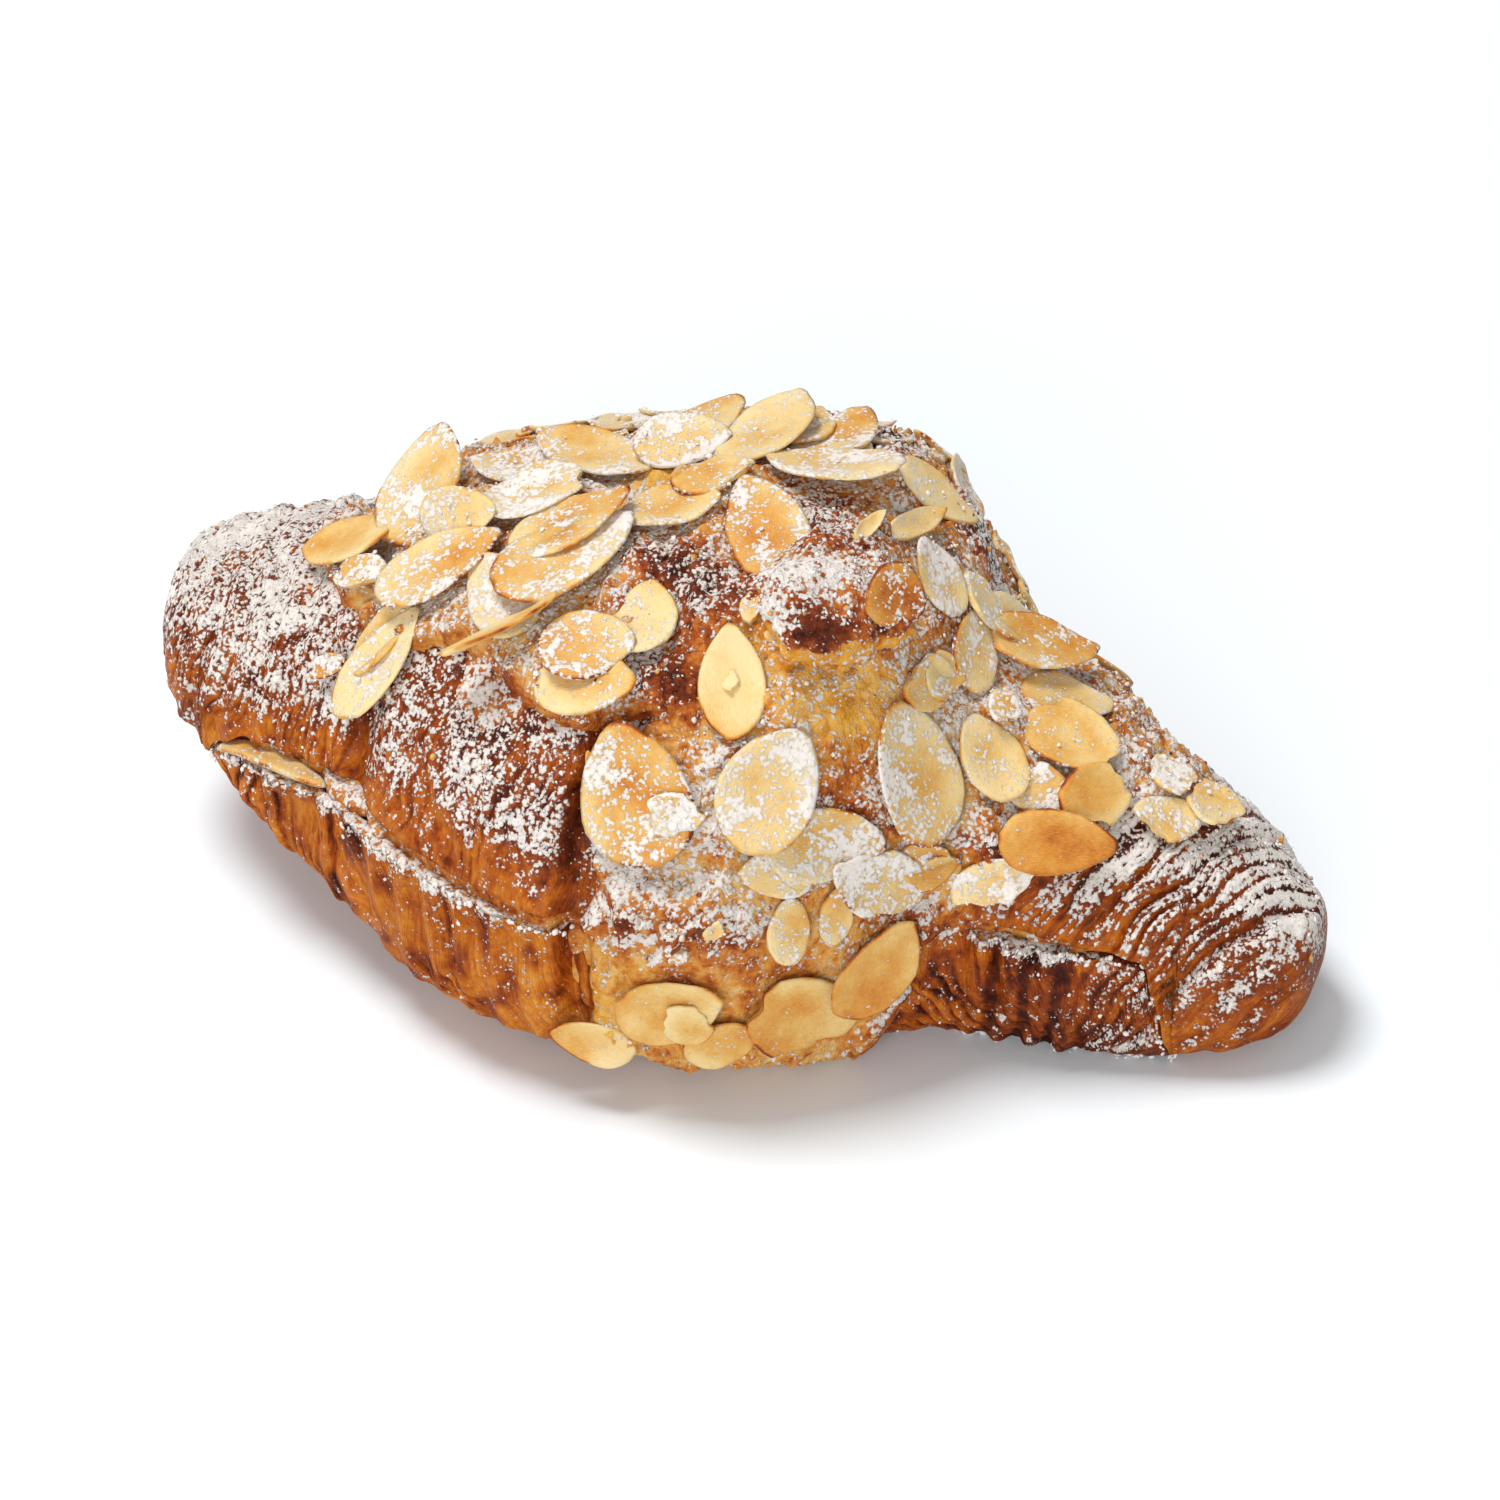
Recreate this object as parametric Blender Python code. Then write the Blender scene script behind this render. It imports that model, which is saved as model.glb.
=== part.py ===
"""Almond croissant: a sliced croissant with almond filling between its halves,
and an almond cream topping with flaked almonds on its crest and down its front.

Lengths are in millimetres until the meshes are made, which are in metres.
Along runs from the left tip to the right tip. Around is the angle, in degrees,
about the croissant's length: 0 is its front, 90 its top and 180 its back.
"""
import math
import random

import bmesh
import bpy
import numpy as np

MM = 0.001
GAP = 0.4

# Sections from tip to tip: along, half width, top, underside, sideways.
SECTIONS = (
    (-86.0, 0.0, 31.5, 31.5, 4.0),
    (-84.0, 11.0, 38.0, 22.5, 3.5),
    (-74.0, 20.5, 42.5, 17.0, 2.0),
    (-60.0, 27.0, 47.0, 11.5, 1.0),
    (-50.0, 31.5, 52.0, 6.5, 1.0),
    (-36.0, 39.5, 57.5, 0.5, -0.5),
    (-24.0, 44.0, 60.0, -1.5, 0.0),
    (-10.0, 47.0, 62.5, -1.5, 1.0),
    (14.0, 44.0, 66.0, -1.5, 2.0),
    (26.0, 34.0, 59.0, -1.5, 1.0),
    (36.0, 25.5, 46.0, -1.5, 1.0),
    (56.0, 21.0, 36.5, -1.5, 0.0),
    (72.0, 15.0, 27.5, 1.0, -1.0),
    (80.0, 9.5, 21.5, 4.0, -2.0),
    (82.6, 6.2, 18.8, 7.2, -2.0),
    (83.5, 0.0, 12.5, 12.5, -2.0),
)
WIDEST_AT = 0.40          # share of the height where a section is widest
UPPER_ROUND = 0.95        # 1 is an ellipse, less is squarer
LOWER_ROUND = 0.50

# The slice: along, its height, and half the gap that the filling takes.
SLICE = (
    (-80.0, 2.0, 0.8),
    (-76.0, 12.0, 0.8),
    (-71.0, 22.5, 1.0),
    (-64.0, 26.0, 2.8),
    (-50.0, 28.5, 2.8),
    (-38.0, 29.0, 1.9),
    (-12.0, 28.0, 2.0),
    (20.0, 24.0, 2.2),
    (50.0, 20.5, 1.8),
    (62.0, 18.5, 1.2),
    (68.0, -4.0, 1.4),
)
RIM = 2.8                 # thickness of the base's rim
RIM_FLARE = 2.8           # how far the rim curls out
RIM_TORN_AT = -8.5        # along, where the curled rim ends at the cream
FILLING_FROM, FILLING_TO = -67.0, 54.0

# Feature lines over the top half: around, along.
CREASE = (
    (-60.0, -45.0), (15.0, -45.0), (60.0, -46.0), (100.0, -56.0), (180.0, -60.0), (240.0, -60.0),
)
SHOULDER = (
    (-60.0, -11.0), (10.0, -10.0), (45.0, -8.5), (75.0, -4.0), (110.0, 2.0), (180.0, -2.0), (240.0, -2.0),
)
CREASE_DEEP = 3.0
CREASE_WIDE = 2.2
SHOULDER_HIGH = 3.0
TIP_RIDGES_FROM = 42.0
TIP_RIDGE_HIGH = 0.75
TIP_RIDGE_EVERY = 5.6
LEFT_RIDGE_HIGH = 0.45
LEFT_RIDGE_EVERY = 4.8

# Crest of the cream: along, front edge and back edge (around).
CREST = (
    (-63.0, 90.0, 90.0),
    (-57.0, 70.0, 108.0),
    (-45.0, 51.0, 120.0),
    (-30.0, 54.0, 128.0),
    (-12.0, 43.0, 134.0),
    (20.0, 50.0, 138.0),
    (45.0, 58.0, 132.0),
    (58.0, 72.0, 120.0),
    (71.0, 96.0, 96.0),
)
# Apron of cream down the front: around, left edge and right edge (along).
APRON = (
    (-58.0, 1.0, 27.0),
    (-20.0, -6.5, 30.5),
    (0.0, -7.0, 33.0),
    (11.0, -6.5, 38.0),
    (34.0, -5.0, 47.0),
    (62.0, -2.0, 56.0),
    (80.0, 4.0, 56.0),
)
CREAM_INNER = 1.2         # clearance of the cream's underside over the pastry
CREAM_THICK = 2.6

# Lumps on the cream: along, around, reach along, reach around, height.
LUMPS = (
    (18.0, 72.0, 12.0, 13.0, 1.6),
    (5.0, 8.0, 8.0, 9.0, 2.6),
    (39.0, 76.0, 4.5, 7.0, 2.2),
    (30.0, -2.0, 5.0, 9.0, 1.2),
    (-4.0, 96.0, 9.0, 12.0, 1.4),
    (36.0, 97.0, 7.0, 12.0, 1.2),
)

# The browned knob on the cream: along, around, out, turn, then its half sizes
# in length, width and height.
KNOB = (18.0, 67.0, 4.0, 36.0, 11.5, 8.0, 5.5)

# Flaked almonds that face the front, larger than 9 mm:
# along, around, turn, length, width, height over the cream, pitch, roll.
FLAKES = (
    (-47, 91, 95, 21, 13, 2.2, 22, 0),
    (-56, 79, 175, 16, 10, 0.4, 0, 0),
    (-51, 67, 178, 10, 6, 0.4, 0, 0),
    (-38, 70, 45, 19, 12, 1.2, 5, 0),
    (-38, 81, 12, 12, 8, 2.0, 0, 50),
    (-29, 88, 16, 17, 12, 1.4, 8, 0),
    (-35, 99, 168, 15, 11, 0.4, 0, 0),
    (-25, 100, 155, 20, 11, 0.8, 4, 0),
    (-20, 73, 48, 22, 14, 1.4, 4, 0),
    (-21, 80, 38, 18, 12, 2.3, 6, 0),
    (-27, 65, 137, 17, 10, 0.3, 0, 0),
    (-24, 57, 36, 18, 7, 3.0, 0, -48),
    (-44, 53, 65, 14, 8, -0.2, 6, 0),
    (-43, 47, 73, 19, 9, -1.0, 4, 0),
    (-14, 109, 50, 19, 11, 0.7, 5, 0),
    (-13, 101, 20, 14, 9, 1.8, 0, 30),
    (-2, 105, 80, 20, 12, 1.6, 8, 0),
    (7, 109, 88, 19, 11, 1.4, 10, 0),
    (10, 96, 174, 20, 13, 2.2, 0, 8),
    (5, 82, 120, 20, 11, 0.8, 4, 0),
    (-5, 91, 9, 12, 9, 0.4, 0, 0),
    (-9, 85, 8, 14, 10, 0.6, 0, 0),
    (-6, 63, 92, 12, 9, 0.5, 0, 0),
    (-12, 57, 6, 13, 11, 0.4, 0, 0),
    (-11, 51, 1, 15, 10, -0.8, 0, 0),
    (22, 96, 77, 12, 4, 0.7, 12, 0),
    (27, 89, 160, 12, 9, 0.5, 0, 0),
    (8, 52, 96, 16, 9, 0.5, 0, 0),
    (1, 32, 103, 20, 15, 0.6, 0, 0),
    (16, 34, 69, 18, 13, 0.5, 0, 0),
    (23, 25, 6, 18, 10, 0.3, 0, 0),
    (31, 46, 147, 21, 14, 0.7, 0, 0),
    (30, 66, 40, 11, 8, 0.4, 0, 0),
    (33, 84, 102, 14, 9, 0.4, 0, 0),
    (40, 101, 45, 18, 10, 1.0, 6, 0),
    (35, 104, 60, 14, 9, 0.5, 0, 0),
    (45, 92, 37, 14, 9, 0.5, 0, 0),
    (48, 79, 4, 16, 10, 1.1, 0, 0),
    (39, 61, 143, 13, 9, 0.5, 0, 0),
    (53, 66, 62, 12, 9, 0.8, 0, 20),
    (50, 47, 21, 16, 9, 0.5, 0, 14),
    (62, 73, 35, 11, 7, 0.4, 0, 0),
    (67, 88, 26, 9, 8, 0.4, 0, 0),
    (6, -3, 16, 15, 11, 0.8, 0, 0),
    (21, -6, 150, 21, 13, 0.8, 0, 0),
    (30, 0, 75, 17, 11, 0.5, 0, 0),
    (20, 8, 101, 11, 6, 0.3, 0, 0),
    (12, -14, 44, 12, 8, 0.3, 0, 0),
)
BACK_FLAKES = 14
FLAKE_THICK = 1.1
FLAKE_SIDES = 8
FLAKE_CURL = 0.7
SLIVER = (-60.0, 13.0, 5.5, 0.9)     # almond out of the slice: along, length, width, thickness


# ---------------------------------------------------------------- shape rules

def curve(table, column, at):
    """Smooth, never overshooting curve through one column of a table."""
    x = np.array([row[0] for row in table])
    y = np.array([row[column] for row in table])
    width = np.diff(x)
    slope = np.diff(y) / width
    tangent = np.zeros(len(x))
    tangent[0], tangent[-1] = slope[0], slope[-1]
    for i in range(1, len(x) - 1):
        if slope[i - 1] * slope[i] > 0:
            a = 2 * width[i] + width[i - 1]
            b = width[i] + 2 * width[i - 1]
            tangent[i] = (a + b) / (a / slope[i - 1] + b / slope[i])
    at = np.clip(at, x[0], x[-1])
    i = np.clip(np.searchsorted(x, at, side="right") - 1, 0, len(width) - 1)
    u = (at - x[i]) / width[i]
    start = y[i] * (1 + 2 * u) * (1 - u) ** 2 + tangent[i] * width[i] * u * (1 - u) ** 2
    end = y[i + 1] * u * u * (3 - 2 * u) + tangent[i + 1] * width[i] * u * u * (u - 1)
    return start + end


def ease(value, start, end):
    """0 before start, 1 after end, smooth between."""
    u = np.clip((value - start) / (end - start), 0.0, 1.0)
    return u * u * (3 - 2 * u)


def section(along):
    """Half width, top, underside, sideways and widest height at a place along."""
    half, top, under, side = (curve(SECTIONS, column, along) for column in (1, 2, 3, 4))
    return half, top, under, side, under + WIDEST_AT * (top - under)


def bent(value, power):
    return np.sign(value) * np.abs(value) ** power


def body(along, around, out):
    """Point of the smooth croissant, a distance out from it."""
    half, top, under, side, middle = section(along)
    angle = np.radians(around)
    across, up = np.cos(angle), np.sin(angle)
    above = up >= 0
    y = side - (half + out) * bent(across, np.where(above, UPPER_ROUND, LOWER_ROUND))
    high = middle + (top - middle + out) * bent(up, UPPER_ROUND)
    low = middle + (middle - under + 0.3 * out) * bent(up, LOWER_ROUND)
    z = np.maximum(np.where(above, high, low), 0.0)
    return np.stack([along + 0 * around, y, z], axis=-1)


def around_at_height(along, height):
    """Angle on the front where a section reaches a height."""
    half, top, under, side, middle = section(along)
    rise = np.clip((height - middle) / (top - middle + 1e-9), 0.0, 1.0)
    drop = np.clip((middle - height) / (middle - under + 1e-9), 0.0, 1.0)
    up = rise ** (1 / UPPER_ROUND) - drop ** (1 / LOWER_ROUND)
    return np.degrees(np.arcsin(np.clip(up, -1.0, 1.0)))


def relief(along, around):
    """Creases, steps and ridges of the rolled dough on the top half."""
    from_crease = along - curve(CREASE, 1, around)
    from_shoulder = along - curve(SHOULDER, 1, around)
    out = -CREASE_DEEP * np.exp(-((from_crease / CREASE_WIDE) ** 2))
    shoulder = SHOULDER_HIGH * (1 - 0.7 * ease(around, 50.0, 85.0))
    out += shoulder * ease(from_crease, 0.0, 30.0) * (1 - ease(from_shoulder, -1.5, 1.5))
    slant = 0.20 * np.minimum(around, 50.0) + 0.08 * np.maximum(around - 50.0, 0.0)
    tip = ease(along, TIP_RIDGES_FROM, TIP_RIDGES_FROM + 8) * (1 - ease(along, 76.0, 83.0))
    tip = tip * ease(90.0 - np.abs(around - 90.0), -40.0, -10.0)
    out += TIP_RIDGE_HIGH * tip * np.sin(2 * math.pi * (along - slant) / TIP_RIDGE_EVERY)
    left = ease(along, -84.0, -78.0) * (1 - ease(along, -52.0, -46.0))
    out += LEFT_RIDGE_HIGH * left * np.sin(2 * math.pi * (from_crease - 0.05 * around) / LEFT_RIDGE_EVERY)
    whole = ease(along, -86.0, -82.0) * (1 - ease(along, 79.5, 83.5))
    return out * whole


def cream_height(along, around):
    """Height of the cream over the pastry."""
    wave = 0.35 * np.sin(along * 0.55 + around * 0.11) + 0.3 * np.sin(along * 0.21 - around * 0.19)
    out = CREAM_THICK + wave
    for lump_along, lump_around, reach_along, reach_around, high in LUMPS:
        far = ((along - lump_along) / reach_along) ** 4 + ((around - lump_around) / reach_around) ** 4
        out = out + high * np.exp(-far)
    return out


# ------------------------------------------------------------------ modelling

def material(name, colour, roughness):
    made = bpy.data.materials.new(name)
    made.use_nodes = True
    shader = made.node_tree.nodes["Principled BSDF"]
    shader.inputs["Base Color"].default_value = (*colour, 1.0)
    shader.inputs["Roughness"].default_value = roughness
    shader.inputs["Metallic"].default_value = 0.0
    made.diffuse_color = (*colour, 1.0)
    return made


def finish(mesh_data, name, look):
    """Turn a closed bmesh into a shaded object of that name."""
    bmesh.ops.triangulate(mesh_data, faces=mesh_data.faces)
    bmesh.ops.recalc_face_normals(mesh_data, faces=mesh_data.faces)
    mesh = bpy.data.meshes.new(name)
    mesh_data.to_mesh(mesh)
    mesh_data.free()
    mesh.materials.append(look)
    mesh.shade_smooth()
    mesh.set_sharp_from_angle(angle=math.radians(35))
    made = bpy.data.objects.new(name, mesh)
    bpy.context.scene.collection.objects.link(made)
    return made


def loft(loops):
    """Closed skin through loops, an array of rows by points by xyz in millimetres."""
    rows, points = loops.shape[0], loops.shape[1]
    mesh_data = bmesh.new()
    bmesh.ops.create_grid(mesh_data, x_segments=points, y_segments=rows - 1, size=1.0)
    mesh_data.verts.ensure_lookup_table()
    places = sorted(mesh_data.verts, key=lambda vert: (round(vert.co.y, 5), round(vert.co.x, 5)))
    for index, vert in enumerate(places):
        row, point = divmod(index, points + 1)
        vert.co = [float(value) * MM for value in loops[row, point % points]]
    bmesh.ops.remove_doubles(mesh_data, verts=mesh_data.verts, dist=0.00002)
    bmesh.ops.dissolve_degenerate(mesh_data, edges=mesh_data.edges, dist=0.00001)
    rims = [edge for edge in mesh_data.edges if edge.is_boundary]
    if rims:
        bmesh.ops.holes_fill(mesh_data, edges=rims, sides=0)
    return mesh_data


def keep_largest(mesh_data):
    """Drop loose scraps and fill sealed hollows: only the outer skin stays."""
    left = set(mesh_data.faces)
    pieces = []
    while left:
        piece, edge = [], [left.pop()]
        while edge:
            face = edge.pop()
            piece.append(face)
            near = {other for side in face.edges for other in side.link_faces} & left
            left -= near
            edge.extend(near)
        pieces.append(piece)
    pieces.sort(key=len)
    for piece in pieces[:-1]:
        bmesh.ops.delete(mesh_data, geom=piece, context="FACES")


def fuse(first, others, name, look):
    """Join overlapping closed pieces into one solid."""
    parts = bpy.data.collections.new("parts")
    bpy.context.scene.collection.children.link(parts)
    for piece in others:
        bpy.context.scene.collection.objects.unlink(piece)
        parts.objects.link(piece)
    joint = first.modifiers.new("fuse", "BOOLEAN")
    joint.operation = "UNION"
    joint.operand_type = "COLLECTION"
    joint.collection = parts
    joint.solver = "MANIFOLD"
    bpy.context.view_layer.update()
    fused = bpy.data.meshes.new_from_object(first.evaluated_get(bpy.context.evaluated_depsgraph_get()))
    for piece in (first, *others):
        bpy.data.objects.remove(piece)
    bpy.data.collections.remove(parts)
    mesh_data = bmesh.new()
    mesh_data.from_mesh(fused)
    bpy.data.meshes.remove(fused)
    keep_largest(mesh_data)
    bmesh.ops.dissolve_limit(mesh_data, angle_limit=math.radians(1.5),
                             verts=mesh_data.verts, edges=mesh_data.edges)
    return finish(mesh_data, name, look)


def rows_between(start, end):
    """Places along, closest together at the tips and at the steps of the dough."""
    fine = [-86.0, -85.4, -84.0, -82.0, -79.5]
    fine += list(np.arange(-77.0, -40.0, 2.3))
    fine += list(np.arange(-38.4, -14.0, 3.4))
    fine += [-13.0, -11.4, -9.8, -8.2, -6.6, -5.0, -3.4, -1.8]
    fine += list(np.arange(0.0, 44.0, 3.4))
    fine += list(np.arange(45.2, 78.0, 1.9))
    fine += [79.6, 81.2, 82.6, 83.3, 83.5]
    inside = [place for place in fine if start + 0.6 < place < end - 0.6]
    return np.array([start, *inside, end])


def make_pastry_top(look):
    along = rows_between(-86.0, 83.5)
    bottom = curve(SLICE, 1, along) + curve(SLICE, 2, along)
    whole = (along < -78.0) | (along > 67.5)
    front = np.where(whole, -90.0, around_at_height(along, bottom))
    share = np.linspace(0.0, 1.0, 21)
    around = front[:, None] + share[None, :] * (180.0 - 2 * front[:, None])
    place = np.repeat(along[:, None], len(share), axis=1)
    outer = body(place, around, relief(place, around))
    outer[:, [0, -1], 2] = np.where(front > -89.0, bottom, outer[:, 0, 2])[:, None]
    across = np.array([0.75, 0.5, 0.25])[None, :, None]
    under = outer[:, :1] * (1 - across) + outer[:, -1:] * across
    return finish(loft(np.concatenate([outer, under], axis=1)), "pastry_top", look)


def slice_ends():
    """Places along, at either tip, where the slice leaves the croissant's underside."""
    along = np.linspace(SLICE[0][0], SLICE[-1][0], 800)
    under = np.maximum(section(along)[2], 0.0)
    cut = along[curve(SLICE, 1, along) - curve(SLICE, 2, along) > under + 0.2]
    return cut[0], cut[-1]


def rim_flare(along, around):
    """How far the base curls out below its rim, with shallow upright folds."""
    left = ease(along, -74.0, -60.0) * (1 - ease(along, RIM_TORN_AT - 2.0, RIM_TORN_AT))
    right = 0.45 * ease(along, 37.0, 42.0) * (1 - ease(along, 55.0, 66.0))
    rise = ease(np.abs(around - 90.0), 150.0, 95.0)
    folds = 0.5 * np.sin(along * 1.25 + 0.04 * around)
    folds = folds * ease(along, -72.0, -60.0) * (1 - ease(along, 55.0, 66.0))
    bare = 1 - ease(along, RIM_TORN_AT - 2.0, RIM_TORN_AT) * (1 - ease(along, 36.0, 41.0))
    return (RIM_FLARE * (left + right) * rise + folds * rise) * bare


def rim_outline(along, closed):
    """The base's outer skin from front rim to back rim, and the room inside its rim."""
    height, gap = curve(SLICE, 1, along), curve(SLICE, 2, along)
    rim = np.where(closed, -90.0, around_at_height(along, height - 0.2 * gap - 0.25))
    share = np.linspace(0.0, 1.0, 19)
    around = rim[:, None] + share[None, :] * (-180.0 - 2 * rim[:, None])
    place = np.repeat(along[:, None], len(share), axis=1)
    outer = body(place, around, rim_flare(place, around))
    room = np.maximum(0.5 * (outer[:, -1, 1] - outer[:, 0, 1]) - RIM, 0.0)
    return outer, 0.5 * (outer[:, 0, 1] + outer[:, -1, 1]), room


def make_pastry_base(look):
    start, end = slice_ends()
    along = np.linspace(start, end, 46)
    tips = np.zeros(len(along), dtype=bool)
    tips[[0, -1]] = True
    outer, side, room = rim_outline(along, tips)
    top = outer[:, 0, 2]
    floor = curve(SLICE, 1, along) - curve(SLICE, 2, along)
    low = np.where(tips, top, np.minimum(floor, top - 0.05))
    inner = []
    for out, level in ((1.0, top), (0.97, low), (0.4, low), (-0.4, low), (-0.97, low), (-1.0, top)):
        inner.append(np.stack([along, side + out * room, level], axis=-1))
    return finish(loft(np.concatenate([outer, np.stack(inner, axis=1)], axis=1)), "pastry_base", look)


def make_filling(look):
    """Cream between the halves, out to the base's rim, rounded off at both ends."""
    along = rows_between(FILLING_FROM, FILLING_TO)
    along = np.concatenate([along[along < -32.0], along[along >= -32.0][::2]])
    along[-1] = FILLING_TO
    height, gap = curve(SLICE, 1, along), curve(SLICE, 2, along) - GAP
    outer, side, room = rim_outline(along, False)
    rounded = ease(along, FILLING_FROM, FILLING_FROM + 9) * (1 - ease(along, FILLING_TO - 9, FILLING_TO))
    uneven = 0.3 * np.sin(along * 0.9) + 0.2 * np.sin(along * 2.3 + 1.0) - 0.5
    reach = np.sqrt(rounded) * (0.97 * room - GAP + uneven)
    loops = []
    for out, up in ((-1.0, 0.0), (-0.97, 0.75), (-0.9, 1.0), (0.0, 1.0), (0.9, 1.0), (0.97, 0.75),
                    (1.0, 0.0), (0.97, -0.75), (0.9, -1.0), (0.0, -1.0), (-0.9, -1.0), (-0.97, -0.75)):
        loops.append(np.stack([along, side + out * reach, height + up * gap], axis=-1))
    loops = np.stack(loops, axis=1)
    loops[[0, -1]] = loops[[0, -1]].mean(axis=1, keepdims=True)
    cream = finish(loft(loops), "almond_filling", look)
    at, length, width, thick = SLIVER
    outer, side, room = rim_outline(np.array([at]), False)
    mesh_data = bmesh.new()
    bmesh.ops.create_cone(mesh_data, cap_ends=True, segments=10, radius1=1.0, radius2=1.0, depth=1.0)
    for vert in mesh_data.verts:
        x = at + vert.co.x * length / 2 - 0.35 * vert.co.y * width / 2
        y = float(side[0] - room[0]) + vert.co.y * width / 2
        z = float(curve(SLICE, 1, x) + 0.25 * curve(SLICE, 2, x)) + vert.co.z * thick
        vert.co = [x * MM, y * MM, z * MM]
    sliver = finish(mesh_data, "sliver", look)
    return fuse(cream, [sliver], "almond_filling", look)


def make_crest(look):
    """Cream along the crest."""
    along = rows_between(CREST[0][0], CREST[-1][0])
    front, back = curve(CREST, 1, along), curve(CREST, 2, along)
    share = np.linspace(0.0, 1.0, 12)
    around = front[:, None] + share[None, :] * (back - front)[:, None]
    place = np.repeat(along[:, None], len(share), axis=1)
    fade = np.sqrt(np.sin(math.pi * share))[None, :]
    under = relief(place, around) + CREAM_INNER
    high = (cream_height(place, around) - CREAM_INNER) * fade * ease(back - front, 0.0, 12.0)[:, None]
    outer = body(place, around, under + high)
    inner = body(place, around, under)[:, -3:0:-2]
    return finish(loft(np.concatenate([outer, inner], axis=1)), "crest", look)


def make_apron(look):
    """Cream down the front to the foot."""
    around = np.linspace(APRON[0][0], APRON[-1][0], 19)
    left, right = curve(APRON, 1, around), curve(APRON, 2, around)
    share = np.linspace(0.0, 1.0, 14)
    along = left[:, None] + share[None, :] * (right - left)[:, None]
    turn = np.repeat(around[:, None], len(share), axis=1)
    foot = np.sqrt(ease(turn, APRON[0][0] - 1.0, APRON[0][0] + 12.0))
    fade = np.sqrt(np.sin(math.pi * share))[None, :] * foot
    high = (cream_height(along, turn) - CREAM_INNER) * np.maximum(fade, 0.02)
    under = relief(along, turn) * ease(turn, 0.0, 20.0) + CREAM_INNER + 0.5 * ease(along, 38.0, 46.0)
    outer = body(along, turn, under + high)
    inner = body(along, turn, under)[:, -2:0:-1]
    return finish(loft(np.concatenate([outer, inner], axis=1)), "apron", look)


def stand_at(along, around, out):
    """Place on the pastry with its directions along, around and outwards."""
    def point(at, turn):
        return body(np.array([float(at)]), np.array([float(turn)]), np.array([out]))[0]
    step = point(along + 2.0, around) - point(along - 2.0, around)
    step /= np.linalg.norm(step)
    sweep = point(along, around + 2.0) - point(along, around - 2.0)
    outwards = np.cross(step, sweep)
    outwards /= np.linalg.norm(outwards)
    if outwards @ (point(along, around) - np.array([along, 0.0, 25.0])) < 0:
        outwards = -outwards
    return point(along, around), step, np.cross(outwards, step), outwards


def keep_clear(place):
    """Push a point of a flake out to the cream's underside, and up from the ground."""
    along = np.array([place[0]])
    half, top, under, side, middle = (float(value[0]) for value in section(along))
    rise = (place[2] - middle) / max(top - middle, 1.0)
    around = math.degrees(math.atan2(rise, (side - place[1]) / max(half, 1.0)))
    if rise < 0:
        drop = (middle - place[2]) / max(middle - under, 1.0)
        across = (side - place[1]) / max(half, 1.0)
        around = math.degrees(math.atan2(-drop ** 2, math.copysign(across * across, across)))
    turn = np.array([around])
    wall = body(along, turn, relief(along, turn) + CREAM_INNER)[0]
    centre = np.array([place[0], side, middle])
    if np.linalg.norm(place - centre) < np.linalg.norm(wall - centre):
        place = wall
    return np.array([place[0], place[1], max(place[2], 0.4)])


def make_flake(along, around, turn, length, width, lift, pitch, roll, look):
    """One flaked almond: a thin, slightly cupped oval with a narrower end."""
    out = float(relief(float(along), float(around)) + cream_height(along, around)) + lift
    centre, step, sweep, outwards = stand_at(along, around, out)
    turn, pitch, roll = math.radians(turn), math.radians(pitch), math.radians(roll)
    long_way = math.cos(turn) * step + math.sin(turn) * sweep
    wide_way = np.cross(outwards, long_way)
    long_way, outwards = (math.cos(pitch) * long_way + math.sin(pitch) * outwards,
                          math.cos(pitch) * outwards - math.sin(pitch) * long_way)
    wide_way, outwards = (math.cos(roll) * wide_way + math.sin(roll) * outwards,
                          math.cos(roll) * outwards - math.sin(roll) * wide_way)
    mesh_data = bmesh.new()
    bmesh.ops.create_cone(mesh_data, cap_ends=True, cap_tris=True, segments=FLAKE_SIDES,
                          radius1=1.0, radius2=1.0, depth=1.0)
    for vert in mesh_data.verts:
        narrow = 1.0 - 0.18 * vert.co.x
        cupped = FLAKE_CURL * (vert.co.x ** 2 + vert.co.y ** 2)
        place = (centre + long_way * vert.co.x * length / 2 + wide_way * vert.co.y * narrow * width / 2
                 + outwards * (vert.co.z * FLAKE_THICK + cupped - 0.5 * FLAKE_CURL))
        if vert.co.z < 0 or roll:
            place = keep_clear(place)
        else:
            place = keep_clear(place - outwards * FLAKE_THICK) + outwards * FLAKE_THICK
        vert.co = [float(value) * MM for value in place]
    return finish(mesh_data, "flake", look)


def make_knob(look):
    """A blunt lump of cream that rose and browned."""
    along, around, out, turn, length, width, height = KNOB
    centre, step, sweep, outwards = stand_at(along, around, out)
    turn = math.radians(turn)
    step, sweep = (math.cos(turn) * step + math.sin(turn) * sweep,
                   math.cos(turn) * sweep - math.sin(turn) * step)
    mesh_data = bmesh.new()
    bmesh.ops.create_icosphere(mesh_data, subdivisions=2, radius=1.0)
    for vert in mesh_data.verts:
        blunt = [float(bent(value, 0.75)) for value in vert.co]
        uneven = 1.0 + 0.07 * math.sin(3.1 * blunt[0] + 2.3 * blunt[1])
        uneven += 0.05 * math.sin(5.3 * blunt[1] - 2.0 * blunt[0])
        place = centre + uneven * (step * blunt[0] * length + sweep * blunt[1] * width
                                   + outwards * blunt[2] * height)
        vert.co = [float(value) * MM for value in keep_clear(place)]
    return finish(mesh_data, "knob", look)


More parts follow.
